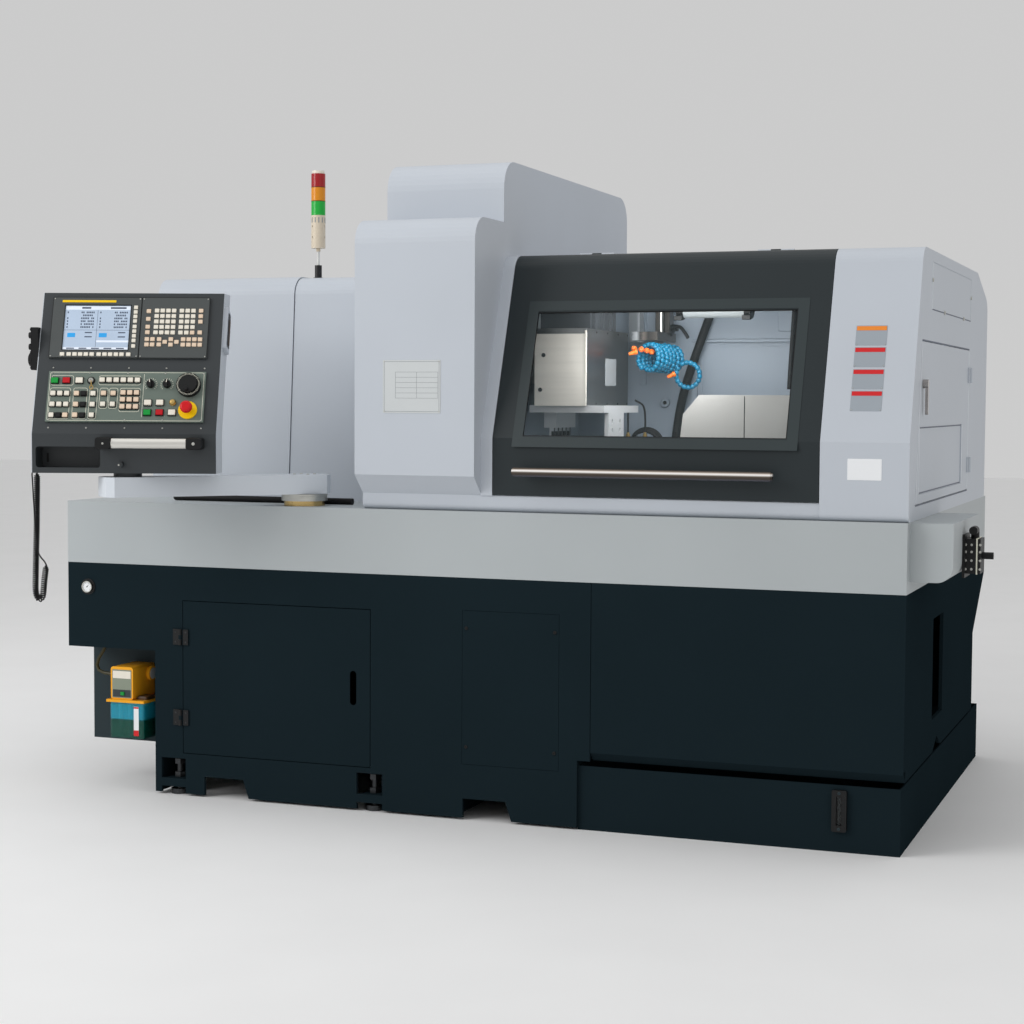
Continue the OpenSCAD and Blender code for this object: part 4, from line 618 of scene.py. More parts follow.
# Route of the coil and of its lead: places across and into the panel, and drops below its foot
CORD_RUN = [(-286, 16, 0), (-286, 16, 48), (-287, 15, 108), (-288, 15, 178), (-290, 14, 248), (-292, 13, 330),
            (-293, 13, 378), (-289, 12, 401), (-280, 12, 412), (-270, 11, 404), (-266, 10, 382), (-263, 9, 350),
            (-259, 8, 322), (-256, 8, 300)]
LEAD_RUN = [(-256, 8, 300), (-261, 4, 288), (-271, -1, 274), (-281, -2, 252), (-286, -2, 200), (-290, -2, 140),
            (-295, 2, 70), (-300, 12, 20), (-304, 24, 0), (-304, 40, -60), (-304, 70, -160), (-306, 110, -260),
            (-311, 141, -318), (-312, 141, -333.5)]
WIRE_R, COIL_R, COIL_EASE = 2.4, 8.2, 12.0


class LATHE_OT_cord(bpy.types.Operator):
    """Winds the curly cord of the hand pulse unit and its straight lead"""

    bl_idname = "lathe.cord"
    bl_label = "Curly cord"

    def execute(self, context):
        turns = settings().cord_turns
        line = smooth_path([panel_point((u, y, PANEL_Z - d)) for u, y, d in CORD_RUN], 12)
        mid, at_s = evenly(line, turns * 14 + 1)
        _, a, b = frames_along(mid)
        g = np.linspace(0, turns * 2 * math.pi, len(mid))
        wide = COIL_R * np.clip(np.minimum(at_s, at_s[-1] - at_s) / COIL_EASE, 0, 1)
        helix = mid + (wide * np.cos(g))[:, None] * a + (wide * np.sin(g))[:, None] * b
        lead = smooth_path([panel_point((u, y, PANEL_Z - d)) for u, y, d in LEAD_RUN], 8)
        path = np.vstack([helix, lead[2:]])
        cord = Kit("cord_coil", "panel", "rubber", "black_rubber", 60).add(tube(path, WIRE_R, 7)).done()
        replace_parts(cord, "curly_cord")
        return {"FINISHED"}


def keys(name, look, places, w, h, t, base=UNIT_T, r=1.6):
    """A set of equal key caps on the panel's leaning face."""
    return plates(name, "panel", look, FACE, [(w, h, t, r, 1.2, u, v, base) for u, v in places])


def block(us, vs):
    """Every pair of the two lists."""
    return [(u, v) for v in vs for u in us]


class LATHE_OT_display(bpy.types.Operator):
    """Builds the display's lit field and the keys of the display and key units"""

    bl_idname = "lathe.display"
    bl_label = "Display and keys"

    def execute(self, context):
        t, mid, glass = settings().key_height, -113.5, 5.5
        plates("screen_field", "panel", "screen", FACE, [(216, 158, 0.5, 1, 0.2, mid, 369.5, 5.1)])
        plates("screen_heads", "panel", "head", FACE,
               [(214, 13, *FILM, mid, 440, glass), (214, 8, *FILM, mid, 296, glass), (106, 7, *FILM, -59, 321, glass)])
        columns = ((-212, 1), (-166, 8), (-104, 1), (-56, 8))
        rows = [(4.0, 6.0, *DASH, u + 5.6 * i, 424 - 10.5 * k, glass)
                for k in range(6) for u, n in columns for i in range(n) if (i * 5 + k * 3) % 7 != 3]
        rows += [(24, 4, *DASH, u, v, glass) for u in (-140, -30) for v in (352, 337)]
        rows += [(26, 4, *DASH, -196 + 41 * k, 296, glass + 0.4) for k in range(5)]
        rows += [(30, 6, *DASH, -152, 440, glass + 0.4), (52, 6, *DASH, -46, 440, glass + 0.4)]
        rows += [(214, 1.0, *HAIR, mid, 361, glass), (1.0, 134, *HAIR, mid, 366, glass)]
        plates("screen_rows", "panel", "dash", FACE, rows)
        plates("screen_icons", "panel", "icon", FACE, [(26, 15, 0.4, 1, 0.1, u, 343, glass) for u in (-196, -92)])
        plates("yellow_field", "panel", "yellow", FACE, [(178, 8, 0.6, 0.5, 0.2, -144, 463, UNIT_T)])
        soft = [-219.7, -197.5, -178.5, -160, -141.3, -122, -99, -80, -61.5, -42.5, -24, -2]
        keys("soft_keys", "white", [(u, 273.7) for u in soft], 14.5, 12.5, t)
        beside = [440.9, 424.4, 408.4, 391.9, 372.4, 355.9, 339.4, 322.9, 303.4]
        keys("side_keys", "white", [(12.2, v) for v in beside], 13, 12.5, t)
        rows_v = [430, 410.5, 391, 371.5, 352]
        white = block([82.5, 101.3, 120.2, 139], rows_v) + block([164.6, 183.8], rows_v)
        keys("letter_keys", "white", white + [(203, v) for v in rows_v[:4]], 14.6, 13.4, t)
        low = block([55.5, 74, 96, 134.5, 175, 193.5, 212, 230.5], [328, 309])
        low += [(115, 318.5), (153.5, 318.5), (203, 352)]
        low += [(55.5, v) for v in (428, 400, 372, 352.5)] + [(228, v) for v in (430, 410.5, 391, 352.5)]
        keys("beige_keys", "beige", low, 14.6, 13.4, t)
        edges = Kit("unit_edges", "panel", "black")
        for *size, u, v, out in ((294, 216, 1.2, 0.5, -117, 370, UNIT_T), (224, 216, 1.2, 0.5, 143, 370, UNIT_T),
                                 (221, 163, 2.5, 1.0, mid, 369.5, 7.6)):
            edges.add(hoop(*size, 2), FACE, move(u, v, out))
        edges.done()
        return {"FINISHED"}


# Places on the operator panel: outlines of its key groups (left, right, low, high) and middles of its dials
KEY_GROUPS = ((-252, 252, 42, 211), (-247, -174, 164, 199), (-92, 46, 166, 199), (-248, -181, 47, 156),
              (-172, -126, 47, 156), (-119, -92, 47, 156), (-86, -58, 84, 156), (-55, -26, 84, 156), (-20, 47, 73, 156))
STOP_AT = (205, 80)
WHEEL_AT = (204, 165)
KNOBS_AT = ((79, 169), (132, 169))
LOCK_AT = (-116.6, 181)


class LATHE_OT_operator_panel(bpy.types.Operator):
    """Builds the operator panel's outlines, keys, dials, button plates and screws"""

    bl_idname = "lathe.operator_panel"
    bl_label = "Operator panel"

    def execute(self, context):
        t = 9.0
        lines = Kit("group_lines", "panel", "line")
        for u0, u1, v0, v1 in KEY_GROUPS:
            lines.add(hoop(u1 - u0, v1 - v0, 1.5, 0.35, 7), FACE, move((u0 + u1) / 2, (v0 + v1) / 2, UNIT_T))
        lines.add(pad(1.4, 150, 0.35, 0.3, 0.1), FACE, move(56, 130, UNIT_T))
        for at in KNOBS_AT:
            for x, y, g in around(at, 20, 15, 225, -19.3):
                lines.add(pad(4.6, 1.6, 0.35, 0.3, 0.1), FACE, move(x, y, UNIT_T, g))
        lines.done()
        thirds, nine = (135, 97, 60), block([-8.5, 13.5, 35.5], [138.5, 114.5, 90])
        six = [(-80 + 23.1 * k, 182.5) for k in range(6)]
        single = [(-154.7, 180.6), (74, 104), (113.5, 104.5), (154.5, 70.5)]
        green, red = [(-235, 180), (74, 70)], [(-197, 180.5), (114, 70.5)]
        keys("op_white", "white", single, 23, 18, t)
        keys("op_six", "white", six, 17, 15, t)
        keys("op_block", "white", block([-237, -214.5, -192], thirds[:2]) + [(-237, 59.5)] + block([-106], thirds)
             + [(-72, 98), (-40.5, 98)], 16, 15, t)
        beige = block([-160], thirds) + [(-192, 59.5), (-72, 136), (-40.5, 136)]
        keys("op_beige", "beige", beige + nine, 16.5, 15, t)
        keys("op_black", "black", block([-137], thirds) + [(-214.5, 59.5)], 16, 15, t)
        sockets = [(u, v, 19, 17) for u, v in block([-237, -214.5, -192, -160, -137, -106], thirds)]
        sockets += [(u, v, 19.5, 17) for u, v in nine] + [(u, v, 20, 18) for u, v in six]
        sockets += [(u, v, 19, 17) for u in (-72, -40.5) for v in (136, 98)]
        sockets += [(u, v, 26, 21) for u, v in (green[0], red[0], *single, green[1], red[1])]
        plates("key_sockets", "panel", "black", FACE,
               [(w + 1.6, h + 2.4, 3.5, 1.5, 0.6, u, v, UNIT_T) for u, v, w, h in sockets])
        keys("op_green", "green", green, 23, 18, t)
        keys("op_red", "redkey", red, 23, 18, t)
        turned("lamp_switch", "panel", "brass", FACE, (155, 105.5, UNIT_T),
               [(11, 0), (11, 4), (9, 6), (8, 10), (0.1, 11.5)])
        turned("key_switch", "panel", "steel_z", FACE, (*LOCK_AT, 9),
               [(8.5, 0), (8.5, 6), (7, 8), (3, 8), (2.8, 6), (0.1, 6)])
        turned("key_ring", "panel", "black", FACE, (*LOCK_AT, UNIT_T), [(13, 0), (13, 2), (11, 4), (8.4, 4)], 28, False)
        Kit("switch_key", "panel", "brass").add(pad(4, 22, 2, 1), FACE, move(-114, 168, 16, 8)).add(
            hoop(13, 15, 3, 2, 6), FACE, move(-112.5, 154, 16, 8)).done()
        turned("stop_ring", "panel", "yellow", FACE, (*STOP_AT, UNIT_T),
               [(30.6, 0), (30.6, 3.4), (29.5, 4.2), (10, 4.2)], 48, False)
        for name, at, turn in (("feed", KNOBS_AT[0], 12), ("speed", KNOBS_AT[1], -8)):
            mark = Kit(f"{name}_mark", name, "white")
            mark.add(pad(2.4, 11, 0.5, 0.4, 0.1), FACE, move(*at, 26.1), move(0, 0, 0, turn), move(0, 7)).done()
        rim = 24.2
        plates("wheel_marks", "wheel", "line", FACE,
               [(4.5 if k % 5 else 7, 1.5, 0.4, 0.3, 0.1, x, y, rim, g)
                for k, (x, y, g) in enumerate(around(WHEEL_AT, 35.2, 50, 0, 7.2))])
        cap = Kit("wheel_cap", "wheel", "black")
        cap.add(lathe([(30, 0), (30, 7), (28, 9), (0.1, 9)], 40), FACE, move(*WHEEL_AT, rim))
        grip = lathe([(7, 0), (7, 6), (5.5, 8), (0.1, 8)], 18)
        cap.add(grip, FACE, move(WHEEL_AT[0] - 5, WHEEL_AT[1] - 20, 33)).done()
        heads = Kit("panel_screws", "panel", "steel_z")
        for u in (-246, -123, 2, 125, 250):
            for v, out in ((229, 0), (20, 0), (208, UNIT_T), (45, UNIT_T)):
                heads.add(screw_head(2.8, 1.6), FACE, move(u, v, out))
        for u in (-258, 24, 37, 249):
            for v in (472, 268):
                heads.add(screw_head(2.4, 1.4), FACE, move(u, v, UNIT_T))
        heads.done()
        return {"FINISHED"}


class LATHE_OT_panel_fittings(bpy.types.Operator):
    """Builds the panel's handle, side slot and the hand pulse unit's knobs"""

    bl_idname = "lathe.panel_fittings"
    bl_label = "Panel fittings"

    def execute(self, context):
        z, ends_at, end_t = 1236.3, (-55.5, 236.5), 57
        g = np.linspace(0, 2 * math.pi, 40, endpoint=False)
        r = 15.5 + 0.8 * np.cos(4 * g) - 0.9 * np.exp(-((np.sin(g) / 0.12) ** 2))
        section = np.stack([0 * g, -42 - r * np.cos(g) * 0.8, z + r * np.sin(g)], axis=-1)
        rings = [np.array([panel_point((u, p[1], p[2])) for p in section]) for u in (-30, -28, 209, 211)]
        Kit("handle_bar", "panel", "alu", "steel").add(loft(rings)).done()
        ends = plates("handle_ends", "panel", "black", PANEL_FRONT,
                      [(52, 39, end_t, 9, 4, u, z) for u in ends_at], "black_plastic")
        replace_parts(ends, "panel_handle")
        bolts = Kit("handle_bolts", "panel", "steel_z").add(screw_head(5, 2), PANEL_FRONT, move(ends_at[1], z, end_t))
        bolts.add(screw_head(3.5, 1.5), PANEL_FRONT, move(ends_at[0], z, end_t))
        bolts.add(lathe([(3, 0), (3, 16), (2, 17)]), PANEL_FRONT, move(-7, 1167, 26)).done()
        lean = move(0, 0, 0, -math.degrees(PANEL_LEAN))
        for name, look, size, at in (("card_slot", "light", (66, 148, 12, 5, 2.5), (186, 1606)),
                                     ("card_window", "black", (34, 116, 2, 3, 0.8), (186, 1606, 12)),
                                     ("card_lid", "brown", (16, 88, 1.5, 2, 0.5), (190, 1600, 14))):
            Kit(name, "panel", look).add(pad(*size), PANEL_SIDE, move(*at), lean).done()
        plates("tray_slot", "panel", "black", PANEL_FRONT, [(7, 30, 1, 2, 0.4, -268, 1186, -85)])
        unit_u, unit_t = -141, 24
        knobs = Kit("pulse_knobs", "panel", "rubber")
        for v, r in ((1507.3, 24), (1549.3, 13), (1587.1, 13)):
            profile = [(r, 0), (r, 3), (r * 0.85, 4), (r * 0.8, 15), (r * 0.7, 17), (0.1, 17)]
            knobs.add(lathe(profile, 24), PANEL_LEFT, move(unit_u, v, unit_t))
        knobs.done()
        plates("pulse_ribs", "panel", "black", PANEL_LEFT,
               [(94, 8, 2, 2, 0.6, unit_u, 1480 + k * 25, unit_t) for k in range(6)])
        return {"FINISHED"}


class LATHE_OT_door(bpy.types.Operator):
    """Builds the door's window band and seal"""

    bl_idname = "lathe.door"
    bl_label = "Door"

    def execute(self, context):
        Kit("window_band", "door", "band").add(hoop(934, 505, 34.5, 1.2, 3), SLOPE, move(667.5, 222.5)).done()
        Kit("window_seal", "door", "rubber").add(hoop(868, 431, 4, 4, 4), SLOPE, move(665.5, 222.5, -6)).done()
        return {"FINISHED"}


class LATHE_OT_plates(bpy.types.Operator):
    """Builds the blank plates, their screws and the fixing screws of the covers"""

    bl_idname = "lathe.plates"
    bl_label = "Plates and screws"

    def execute(self, context):
        x, ups, thick = 1334, (133.5, 204, 276, 347), 0.8
        heads = [(92, 14, 0.5, 1, 0.2, x, v + 23.5, thick) for v in ups]
        plates("plates", "machine", "plate", SLOPE, [(96, 66, thick, 2, 0.3, x, v) for v in ups])
        plates("plate_heads", "machine", "header", SLOPE, heads[:3])
        plates("plate_head_top", "machine", "header2", SLOPE, heads[3:])
        plates("white_plate", "machine", "paper", front(COVER_Y), [(104, 65, 1.0, 2, 0.3, 1340, 1178)])
        mid, plate_t = (-130, 1425), 1.4
        plates("column_plate", "machine", "silver", front(COLUMN_Y), [(205, 173, plate_t, 2, 0.5, *mid)])
        face = front(COLUMN_Y - plate_t)
        rule = Kit("plate_rules", "machine", "rule").add(hoop(196, 164, 1.2, 0.4, 1), face, move(*mid))
        lines = [(150, 1.0, -112, 1472 - 17 * k) for k in range(6)] + [(1.0, 86, u, 1429.5) for u in (-187, -112, -37)]
        for w, h, u, v in lines:
            rule.add(pad(w, h, *HAIR), face, move(u, v))
        rule.done()
        small = Kit("small_screws", "machine", "steel_z")
        for u in (-227, -33):
            for v in (1344, 1506):
                small.add(screw_head(2.2, 1.4), face, move(u, v))
        for v in ups:
            for u in (x - 44, x + 44):
                small.add(screw_head(1.8, 1.2), SLOPE, move(u, v - 29, thick))
        small.done()
        screws("panel_fixings", "machine", "black", front(BASE_Y), 6, 3,
               [(u, v) for u in (48, 355) for v in (244, 636)])
        return {"FINISHED"}


# Routes of the chamber's hoses and tubes, from the top down, and the bead hose's tips with the ways they point
CONDUIT_Y = -95
CONDUIT_RUN = [(690, 1862), (690, 1845), (676, 1805), (655, 1745), (625, 1670), (596, 1590), (566, 1505), (540, 1420),
               (521, 1330), (510, 1240), (506, 1150), (505, 1080), (505, 1019)]
REAR_RUN = [(955, -160, 1862), (956, -170, 1780), (955, -185, 1690), (952, -195, 1600), (948, -200, 1510),
            (944, -200, 1425)]
THIN_RUNS = ([(425, -400, 1366), (425, -400, 1330), (425, -400, 1262)],
             [(428, -330, 1385), (452, -310, 1365), (458, -305, 1320), (456, -300, 1255)])
CLAMP_RUN = [(508, -150, 1640), (538, -160, 1645), (560, -164, 1622), (571, -165, 1605)]
HOSE_TIPS = (((455, -400, 1552), (-1, -0.5, -0.35)), ((440, -385, 1562), (0.2, -1, 0.1)),
             ((462, -372, 1560), (0.3, -1, 0.0)), ((480, -366, 1556), (0.3, -1, -0.1)),
             ((496, -362, 1552), (0.3, -1, -0.1)), ((566, -310, 1478), (-1, -0.3, -0.5)))
HOSE_AT, HOSE_AXIS = np.array([484.0, -378.0, 1534.0]), np.array([62.0, 118.0, -6.0])
LOOP_AT = np.array([609.0, -300.0, 1473.0])
HOSE_TURNS, HOSE_R, LOOP_R = 7, 43.5, 43
BOSS_AT = (462, 1377)
LAMP_Y, LAMP_Z = -300, 1697


class LATHE_OT_chamber(bpy.types.Operator):
    """Builds the bead hose, corrugated hoses, tubes and fittings inside the chamber"""

    bl_idname = "lathe.chamber"
    bl_label = "Chamber fittings"

    def execute(self, context):
        self.hoses()
        self.tool_box()
        guard, wall_y = front(corner("sub_spindle_cover", 0)[1]), corner("back_wall", 0)[1]
        plates("guard_plate", "sub_spindle", "guard", guard, [(382, 338, 3, 1, 0.6, 1090, 1234)])
        plates("guard_seam", "sub_spindle", "black", guard, [(3, 334, 0.6, 0.3, 0.1, 896, 1232)])
        face, inset = front(wall_y), front(wall_y + 10)
        turned("boss_ring", "machine", "wall", face, BOSS_AT, [(17, 0), (17, 5), (15, 8), (8, 8), (7, 4)])
        # A black plug in the boss is painted shade, the dark inside of its hole.
        turned("boss_hole_shade", "machine", "black", face, BOSS_AT, [(7.6, 0), (7.6, 4.5), (0.1, 4.5)], 20)
        wall = Kit("wall_frames", "machine", "wall").add(pad(24, 420, 8, 3, 2), inset, move(377, 1650))
        wall.add(pad(905, 12, 16, 2, 2), inset, move(1015, 1598)).add(hoop(840, 210, 8, 4, 3), inset, move(1010, 1480))
        wall.add(pad(60, 120, 14, 3, 2), face, move(905, 1690)).done()
        caps = Kit("lamp_caps", "machine", "black")
        for x in (572, 812):
            caps.add(lathe([(34, 0), (34, 20), (30, 24), (20, 24)]), side(x - 1), move(LAMP_Y, LAMP_Z))
            caps.add(pad(30, 16, 12, 3, 2), front(LAMP_Y - 30), move(x + 10, LAMP_Z - 29))
        caps.done()
        return {"FINISHED"}

    def hoses(self):
        """The hoses and tubes, with their ends."""
        r = settings().bead_radius
        pitch = 2 * r * 0.86
        g = np.linspace(0, HOSE_TURNS * 2 * math.pi, 500)
        a = np.cross(HOSE_AXIS, UP)
        a /= np.linalg.norm(a)
        b = np.cross(HOSE_AXIS / np.linalg.norm(HOSE_AXIS), a)
        wide = HOSE_R + 1.5 * np.sin(2.3 * g)
        coil = HOSE_AT + (g / g[-1])[:, None] * HOSE_AXIS
        coil = coil + (wide * np.cos(g + 2))[:, None] * a + (wide * np.sin(g + 2))[:, None] * b
        h = g / 7.2
        loop = LOOP_AT + LOOP_R * np.stack([np.cos(h + 2.4), 0.12 * np.sin(h), np.sin(h + 2.4)], axis=-1)
        hose = Kit("bead_hose", "machine", "blue", "blue_plastic", 180)
        hose.add(beads(coil, r, pitch)).add(beads(loop, r, pitch))
        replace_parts(hose.done(), "coolant_hose")
        tips = Kit("hose_tips", "machine", "orange")
        cone = lathe([(9.5, 0), (9.5, 8), (7, 10), (7, 18), (5, 30), (2.5, 30), (2.5, 24)], 16)
        for at, way in HOSE_TIPS:
            across = np.cross(way, UP)
            tips.add(cone, basis(at, across, np.cross(across, -np.array(way))))
        tips.done()
        line, at_s = evenly(smooth_path([(x, CONDUIT_Y, z) for x, z in CONDUIT_RUN], 12), 420)
        conduit = Kit("conduit_ribs", "machine", "rubber", "black_rubber", 60)
        conduit.add(tube(line, 15.2 + 0.7 * np.sin(at_s * 2 * math.pi / 8.0), 16))
        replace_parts(conduit.done(), "conduit_hose")
        path = smooth_path(REAR_RUN, 20)
        Kit("rear_hose", "machine", "rubber", None, 60).add(
            tube(path, 9 + 1.2 * np.sin(lengths(path) * 2 * math.pi / 9.0), 12)).done()
        loops = Kit("floor_loops", "machine", "rubber", None, 60)
        for k in range(3):
            ring = np.stack([(60 - 4 * k) * np.cos(g / 7), 0 * g, (60 - 5 * k) * np.sin(g / 7)], axis=-1)
            loops.add(tube(np.array([430.0, -190.0 - 14 * k, 1225.0]) + ring, 5.5, 8))
        loops.done()
        thin, fits = Kit("thin_tubes", "tools", "rubber", None, 60), Kit("tube_fittings", "tools", "brass")
        for run in THIN_RUNS:
            thin.add(tube(smooth_path(run), 3.5, 8))
            fits.add(lathe([(5, 0), (5, 8), (8, 8), (8, 18), (5, 18), (5, 24)], 12), top(1250), move(*run[-1][:2]))
        thin.done(), fits.done()
        turned("rod_sleeve", "machine", "steel_z", top(1593), (476, -181), [(8.6, 0), (8.6, 268)], 20)
        Kit("clamp_handle", "clamp", "black", None, 60).add(tube(smooth_path(CLAMP_RUN), 6, 10)).done()

    def tool_box(self):
        """The lid, plate and screws of the steel box, and the tool sleeves under it."""
        (_, face_y, _), (right, _, high) = corner("tool_slide_cover", 0), corner("tool_slide_cover", 1)
        face, flank, lid_t, row_y = front(face_y), side(right), 3, face_y + 10
        plates("tool_sleeves", "tools", "black", top(1262),
               [(17, 15, 80, 2, 1.5, 222, -610 + 40 * k) for k in range(5)])
        heads = Kit("box_screws", "tools", "dim")
        for x, z in ((222, 1533), (211, 1418)):
            heads.add(screw_head(7, 4), face, move(x, z, lid_t))
        for z, y in block((1372, 1612), (row_y, -590, -470, -350, -240)) + [(1490, row_y)]:
            heads.add(screw_head(3.5, 2), flank, move(y, z))
        for x in (230, 330):
            heads.add(screw_head(3.5, 3), top(high), move(x, row_y))
        heads.done()
        plates("box_lid", "tools", "bright", face,
               [(181, 240, lid_t, 1, 0.8, 280.5, 1484), (6, 250, 6, 1, 0.8, right, 1490)])
        plates("box_plate", "tools", "rule", flank, [(120, 92, 0.8, 1, 0.2, -430, 1480)])


GAUGE_AT = (-1392, 717)
LEAF_ZS = (555.5, 274.5)


class LATHE_OT_small_gear(bpy.types.Operator):
    """Builds the details of the gauges, lubricator, valve, end cover, hinges, tower light and arm"""

    bl_idname = "lathe.small_gear"
    bl_label = "Small gear"

    def execute(self, context):
        self.lubricator()
        self.right_end()
        dial_y = corner("pressure_gauge", 0)[1] + 3
        turned("gauge_face", "machine", "paper", front(dial_y), GAUGE_AT, [(16.9, 0), (16.9, 0.5), (0.1, 0.5)], 32)
        marks, dial = Kit("gauge_marks", "machine", "black"), front(dial_y - 0.5)
        for x, z, g in around(GAUGE_AT, 13.5, 11, 225, -27):
            marks.add(pad(3.2, 0.9, 0.3, 0.2, 0.1), dial, move(x, z, 0, g))
        marks.add(pad(13, 1.3, 0.5, 0.3, 0.1), dial, move(GAUGE_AT[0] + 2, GAUGE_AT[1] + 2, 0, 50))
        marks.add(lathe([(2, 0), (2, 1.2)], 12), dial, move(*GAUGE_AT))
        marks.add(hoop(56, 56, 7, 3, 27), front(BASE_Y), move(*GAUGE_AT)).done()
        turned("pivot_ring", "machine", "steel_x", top(DECK_Z + 17), PIVOT_AT,
               [(79, 0), (79, 5), (78.2, 6), (78.2, 17), (79, 18), (79, 23.5)], 64, False)
        left, right, depth, r = -1161, -455, -754, 11.0
        turn = np.linspace(0.05, math.pi / 2, 7)
        run = np.append(left + r * (1 - np.cos(turn)), right)
        Kit("deck_strip", "machine", "rubber", None, 60).add(
            tube([(x, depth, DECK_Z + 0.1 + r) for x in run], np.append(r * np.sin(turn), r), 16)).done()
        leaf, rows = front(BASE_Y - 5), [z + dz for z in LEAF_ZS for dz in (-17, 17)]
        plates("leaf_caps", "cabinet_door", "black", leaf, [(20, 54, 1, 2, 0.4, -999, z) for z in LEAF_ZS])
        screws("leaf_screws", "cabinet_door", "dim", leaf, 3, 1.2, [(-998, z, 1) for z in rows])
        screws("hinge_screws", "machine", "dim", leaf, 3, 1.2, [(-1038, z) for z in rows])
        low, high = corner("tower_lenses", 0), corner("tower_lenses", 1)
        mid, r = (low + high) / 2, (high[0] - low[0]) / 2
        slots, rings = Kit("tower_slots", "machine", "rule"), Kit("lens_rings", "machine", "brown")
        for x, y, _ in around(mid, r, 12, 0, 30):
            slots.add(pad(4, 19, 0.5, 0.5, 0.2), basis((x, y, low[2] - 17.5), (mid[1] - y, x - mid[0], 0), UP))
        for share in (1 / 3, 2 / 3):
            level = top(low[2] + (high[2] - low[2]) * share)
            rings.add(lathe([(r + 0.15, 0), (r + 0.15, 2.5)], 40), level, move(*mid[:2]))
        slots.done(), rings.done()
        screws("arm_bolts", "arm", "steel_z", top(corner("swing_arm", 1)[2]), 5, 3,
               [(x, y) for at in (PIVOT_AT, SWIVEL) for x, y, _ in around(at, 36, 4, 45, 90)])
        return {"FINISHED"}

    def lubricator(self):
        """The pump's fields and cap, the oil tank's contents and the dial beside it."""
        face = front(corner("lube_tank", 0)[1])
        for name, look, on, rows in (
                ("pump_field", "pump_film", face, [(78, 100, 0.8, 3, 0.3, -1266, 376)]),
                ("pump_field_top", "white", face, [(72, 26, 0.5, 1, 0.2, -1266, 408, 0.8)]),
                ("pump_field_low", "charcoal", face, [(72, 26, 0.5, 1, 0.2, -1266, 342, 0.8)]),
                ("pump_button", "green", face, [(14, 12, 5, 1, 0.8, -1262, 342, 1.3)]),
                ("pump_cap", "brown", top(320), [(42, 60, 12, 6, 3, -1197, -890)]),
                ("level_strip", "paper", face, [(20, 104, 0.6, 1, 0.2, -1208, 246, 0.4)]),
                ("level_red", "header", face, [(20, h, 0.4, 1, 0.1, -1208, z, 1.0) for h, z in ((20, 204), (6, 294))]),
                ("oil_fill", "oil", top(188.5), [(131, 138, 62, 8, 1, -1248, -863.5)])):
            plates(name, "machine", look, on, rows)
        for name, look, places in (("oil_pipes", "pipe", (-1292, -1254)), ("oil_rods", "plate_dark", (-1273, -1237))):
            kit = Kit(name, "machine", look)
            for x in places:
                kit.add(lathe([(6.5, 0), (6.5, 116)], 14), top(191), move(x, -905))
            kit.done()
        turned("dial_face", "machine", "silver", side(-1209), (-822, 402), [(20, 0), (20, 1), (8, 2), (0.1, 2)])

    def right_end(self):
        """The level gauge, the air valve, and the painted highlight strips, painted shade lines, gaps and rolled foot
        of the end cover and its door.
        """
        x, face = 1281, front(corner("level_gauge", 0)[1])
        turned("level_tube", "machine", "glass", top(85.5), (x, -945), [(6, 0), (6, 88)], 16)
        scale = Kit("level_marks", "machine", "plate_dark")
        for k in range(9):
            scale.add(pad(4, 0.8, 0.3, 0.1, 0.1), face, move(x + 13, 92 + k * 9.5))
        for z in (74, 185):
            scale.add(screw_head(5, 2), face, move(x, z))
        scale.done()
        plates("valve_gasket", "machine", "line", side(1646), [(104, 112, 4, 2, 0.5, -640, 906)])
        screws("valve_bolts", "machine", "steel_z", front(-690), 4, 2.2,
               [(u, z) for u in (1614, 1632, 1658) for z in (866, 893, 920, 942)])
        end = side(END_X)
        # Painted highlight strips down the lit edges of the side hatch and of its inner panel.
        plates("hatch_edge_highlights", "side_hatch", "edge", end,
               [(5, 502, *EDGE_HIGHLIGHT, -766, 1320, 0, -9.9), (8, 494, *EDGE_HIGHLIGHT, 384, 1320), (5, 205, *EDGE_HIGHLIGHT, -754, 1201),
                (9, 205, *EDGE_HIGHLIGHT, 222, 1201)])
        # Painted shade lines along the top and bottom of the hatch's inner panel.
        plates("hatch_painted_shade_lines", "side_hatch", "dash", end, [(965, 4, *GAP_AND_SHADE_LINE, -267, z, -4) for z in (1303, 1100)])
        plates("hatch_gaps", "machine", "dash", end, [(1112, 4, *GAP_AND_SHADE_LINE, -168, 1576), (1200, 4, *GAP_AND_SHADE_LINE, -212, 1064)])
        # A painted highlight strip down the upper panel's left edge.
        plates("upper_panel_edge_highlight", "machine", "edge", end, [(5, 150, *EDGE_HIGHLIGHT, -533, 1754)])
        plates("upper_panel_gap", "machine", "dash", end, [(938, 4, *GAP_AND_SHADE_LINE, -64.5, 1679)])
        screws("upper_panel_screws", "machine", "steel_z", end, 7, 4,
               [(-533, 1772), (-262, 1679), (212, 1679), (404, 1762)])
        t, r = np.linspace(0, math.pi / 2, 9), 20
        outer, inner = (np.stack([COVER_Y + r - q * np.sin(t), DECK_Z + r - q * np.cos(t)], axis=-1)
                        for q in (19.8, 17))
        roll = np.vstack([outer, inner[::-1]])
        Kit("cover_roll", "machine", "light").add(
            loft([np.column_stack([np.full(len(roll), x), roll]) for x in (1204, END_X - 1)])).done()


# The camera as fitted to straight edges of the photo: place in metres, and yaw, pitch and roll in degrees
CAMERA_AT, CAMERA_TURN, CAMERA_LENS = (2.39425, -6.7757, 1.37843), (20.593, 3.285, 0.324), 67.76
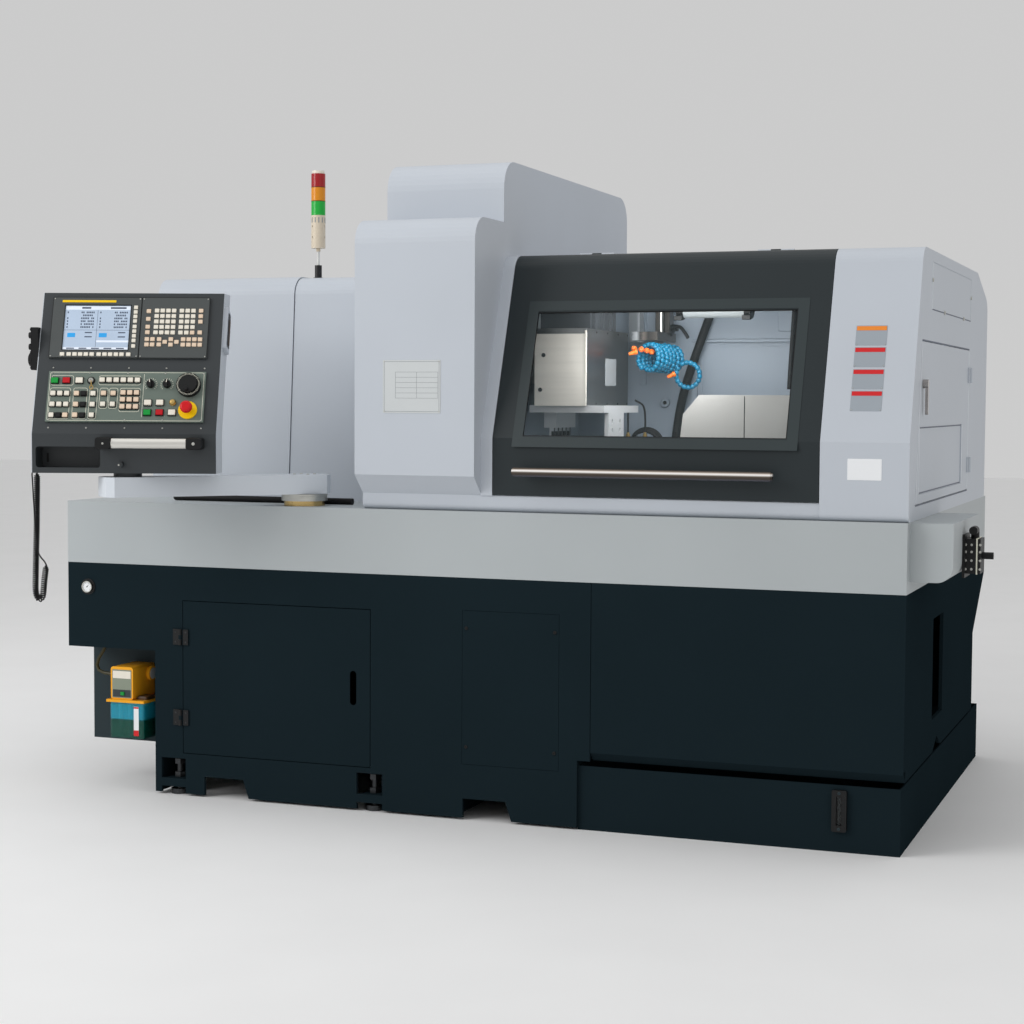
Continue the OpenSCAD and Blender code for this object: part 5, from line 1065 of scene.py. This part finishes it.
# Area lamps in metres and watts: place, aim, width and power
LAMPS = {
    "key": ((-5.0, -5.6, 4.4), (-0.3, -0.5, 1.0), 4.0, 212),
    "fill": ((5.5, -4.0, 3.2), (0.8, 0, 1.0), 3.0, 5),
    "over": ((0.0, -1.0, 6.0), (0, 0, 1.0), 5.0, 50),
    "chamber": ((0.64, -0.67, 1.66), (0.5, -0.1, 1.36), 0.4, 3.6),
}
SKY, FLOOR_REACH, FLOOR_POINTS = 0.6, 30, 9


class LATHE_OT_stage(bpy.types.Operator):
    """Sets the floor, the studio light and the camera"""

    bl_idname = "lathe.stage"
    bl_label = "Stage"

    def execute(self, context):
        scene = context.scene
        step = np.linspace(-FLOOR_REACH, FLOOR_REACH, FLOOR_POINTS)
        x, y = (k.ravel() for k in np.meshgrid(step, step))
        mesh = bpy.data.meshes.new("floor")
        mesh.from_pydata(np.stack([x, y, 0 * x], axis=-1).tolist(), [], quads(FLOOR_POINTS, FLOOR_POINTS, False))
        floor = bpy.data.objects.new("floor", mesh)
        scene.collection.objects.link(floor)
        mesh.materials.append(paint("floor_paint", (246, 246, 246), 0.7, 40, 0.0, 0.01))
        world = scene.world or bpy.data.worlds.new("studio")
        scene.world = world
        world.use_nodes = True
        sky = world.node_tree.nodes["Background"]
        sky.inputs["Color"].default_value = (1.0, 1.0, 1.0, 1.0)
        sky.inputs["Strength"].default_value = SKY
        for name, (at, aim, size, power) in LAMPS.items():
            lamp = bpy.data.lights.new(name, "AREA")
            lamp.size, lamp.energy = size, power
            obj = bpy.data.objects.new(name, lamp)
            scene.collection.objects.link(obj)
            obj.location = at
            obj.rotation_euler = (Vector(aim) - Vector(at)).to_track_quat("-Z", "Y").to_euler()
        cam = bpy.data.cameras.new("camera")
        cam.lens, cam.sensor_width, cam.sensor_fit = CAMERA_LENS, 36.0, "HORIZONTAL"
        cam.clip_end = 200
        cam.dof.use_dof = False
        obj = bpy.data.objects.new("camera", cam)
        scene.collection.objects.link(obj)
        yaw, pitch, roll = map(math.radians, CAMERA_TURN)
        fwd = Vector((-math.sin(yaw) * math.cos(pitch), math.cos(yaw) * math.cos(pitch), -math.sin(pitch)))
        right = Vector((math.cos(yaw), math.sin(yaw), 0))
        up = right.cross(fwd)
        r = math.cos(roll) * right + math.sin(roll) * up
        u = -math.sin(roll) * right + math.cos(roll) * up
        m = Matrix((r, u, -fwd)).transposed().to_4x4()
        m.translation = CAMERA_AT
        obj.matrix_world = m
        scene.camera = obj
        scene.view_settings.view_transform = "Standard"
        return {"FINISHED"}


class LATHE_PT_panel(bpy.types.Panel):
    """The lathe's buttons in the sidebar"""

    bl_label = "Turning lathe"
    bl_idname = "LATHE_PT_panel"
    bl_space_type = "VIEW_3D"
    bl_region_type = "UI"
    bl_category = "Lathe"

    def draw(self, context):
        for name in LatheSettings.__annotations__:
            self.layout.prop(context.scene.lathe_looks, name)
        for c in OPERATORS:
            self.layout.operator(c.bl_idname)


OPERATORS = (LATHE_OT_stage, LATHE_OT_finishes, LATHE_OT_cord, LATHE_OT_display, LATHE_OT_operator_panel,
             LATHE_OT_panel_fittings, LATHE_OT_door, LATHE_OT_plates, LATHE_OT_chamber, LATHE_OT_small_gear)
CLASSES = (LatheSettings, *OPERATORS, LATHE_PT_panel)


def register():
    for c in CLASSES:
        bpy.utils.register_class(c)
    bpy.types.Scene.lathe_looks = PointerProperty(type=LatheSettings)


def unregister():
    del bpy.types.Scene.lathe_looks
    for c in reversed(CLASSES):
        bpy.utils.unregister_class(c)


def main():
    """Registers the add-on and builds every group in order."""
    register()
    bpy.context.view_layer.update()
    for c in OPERATORS:
        group, name = c.bl_idname.split(".")
        if getattr(getattr(bpy.ops, group), name)() != {"FINISHED"}:
            raise RuntimeError(f"{c.bl_idname} did not finish")


if __name__ == "__main__":
    main()
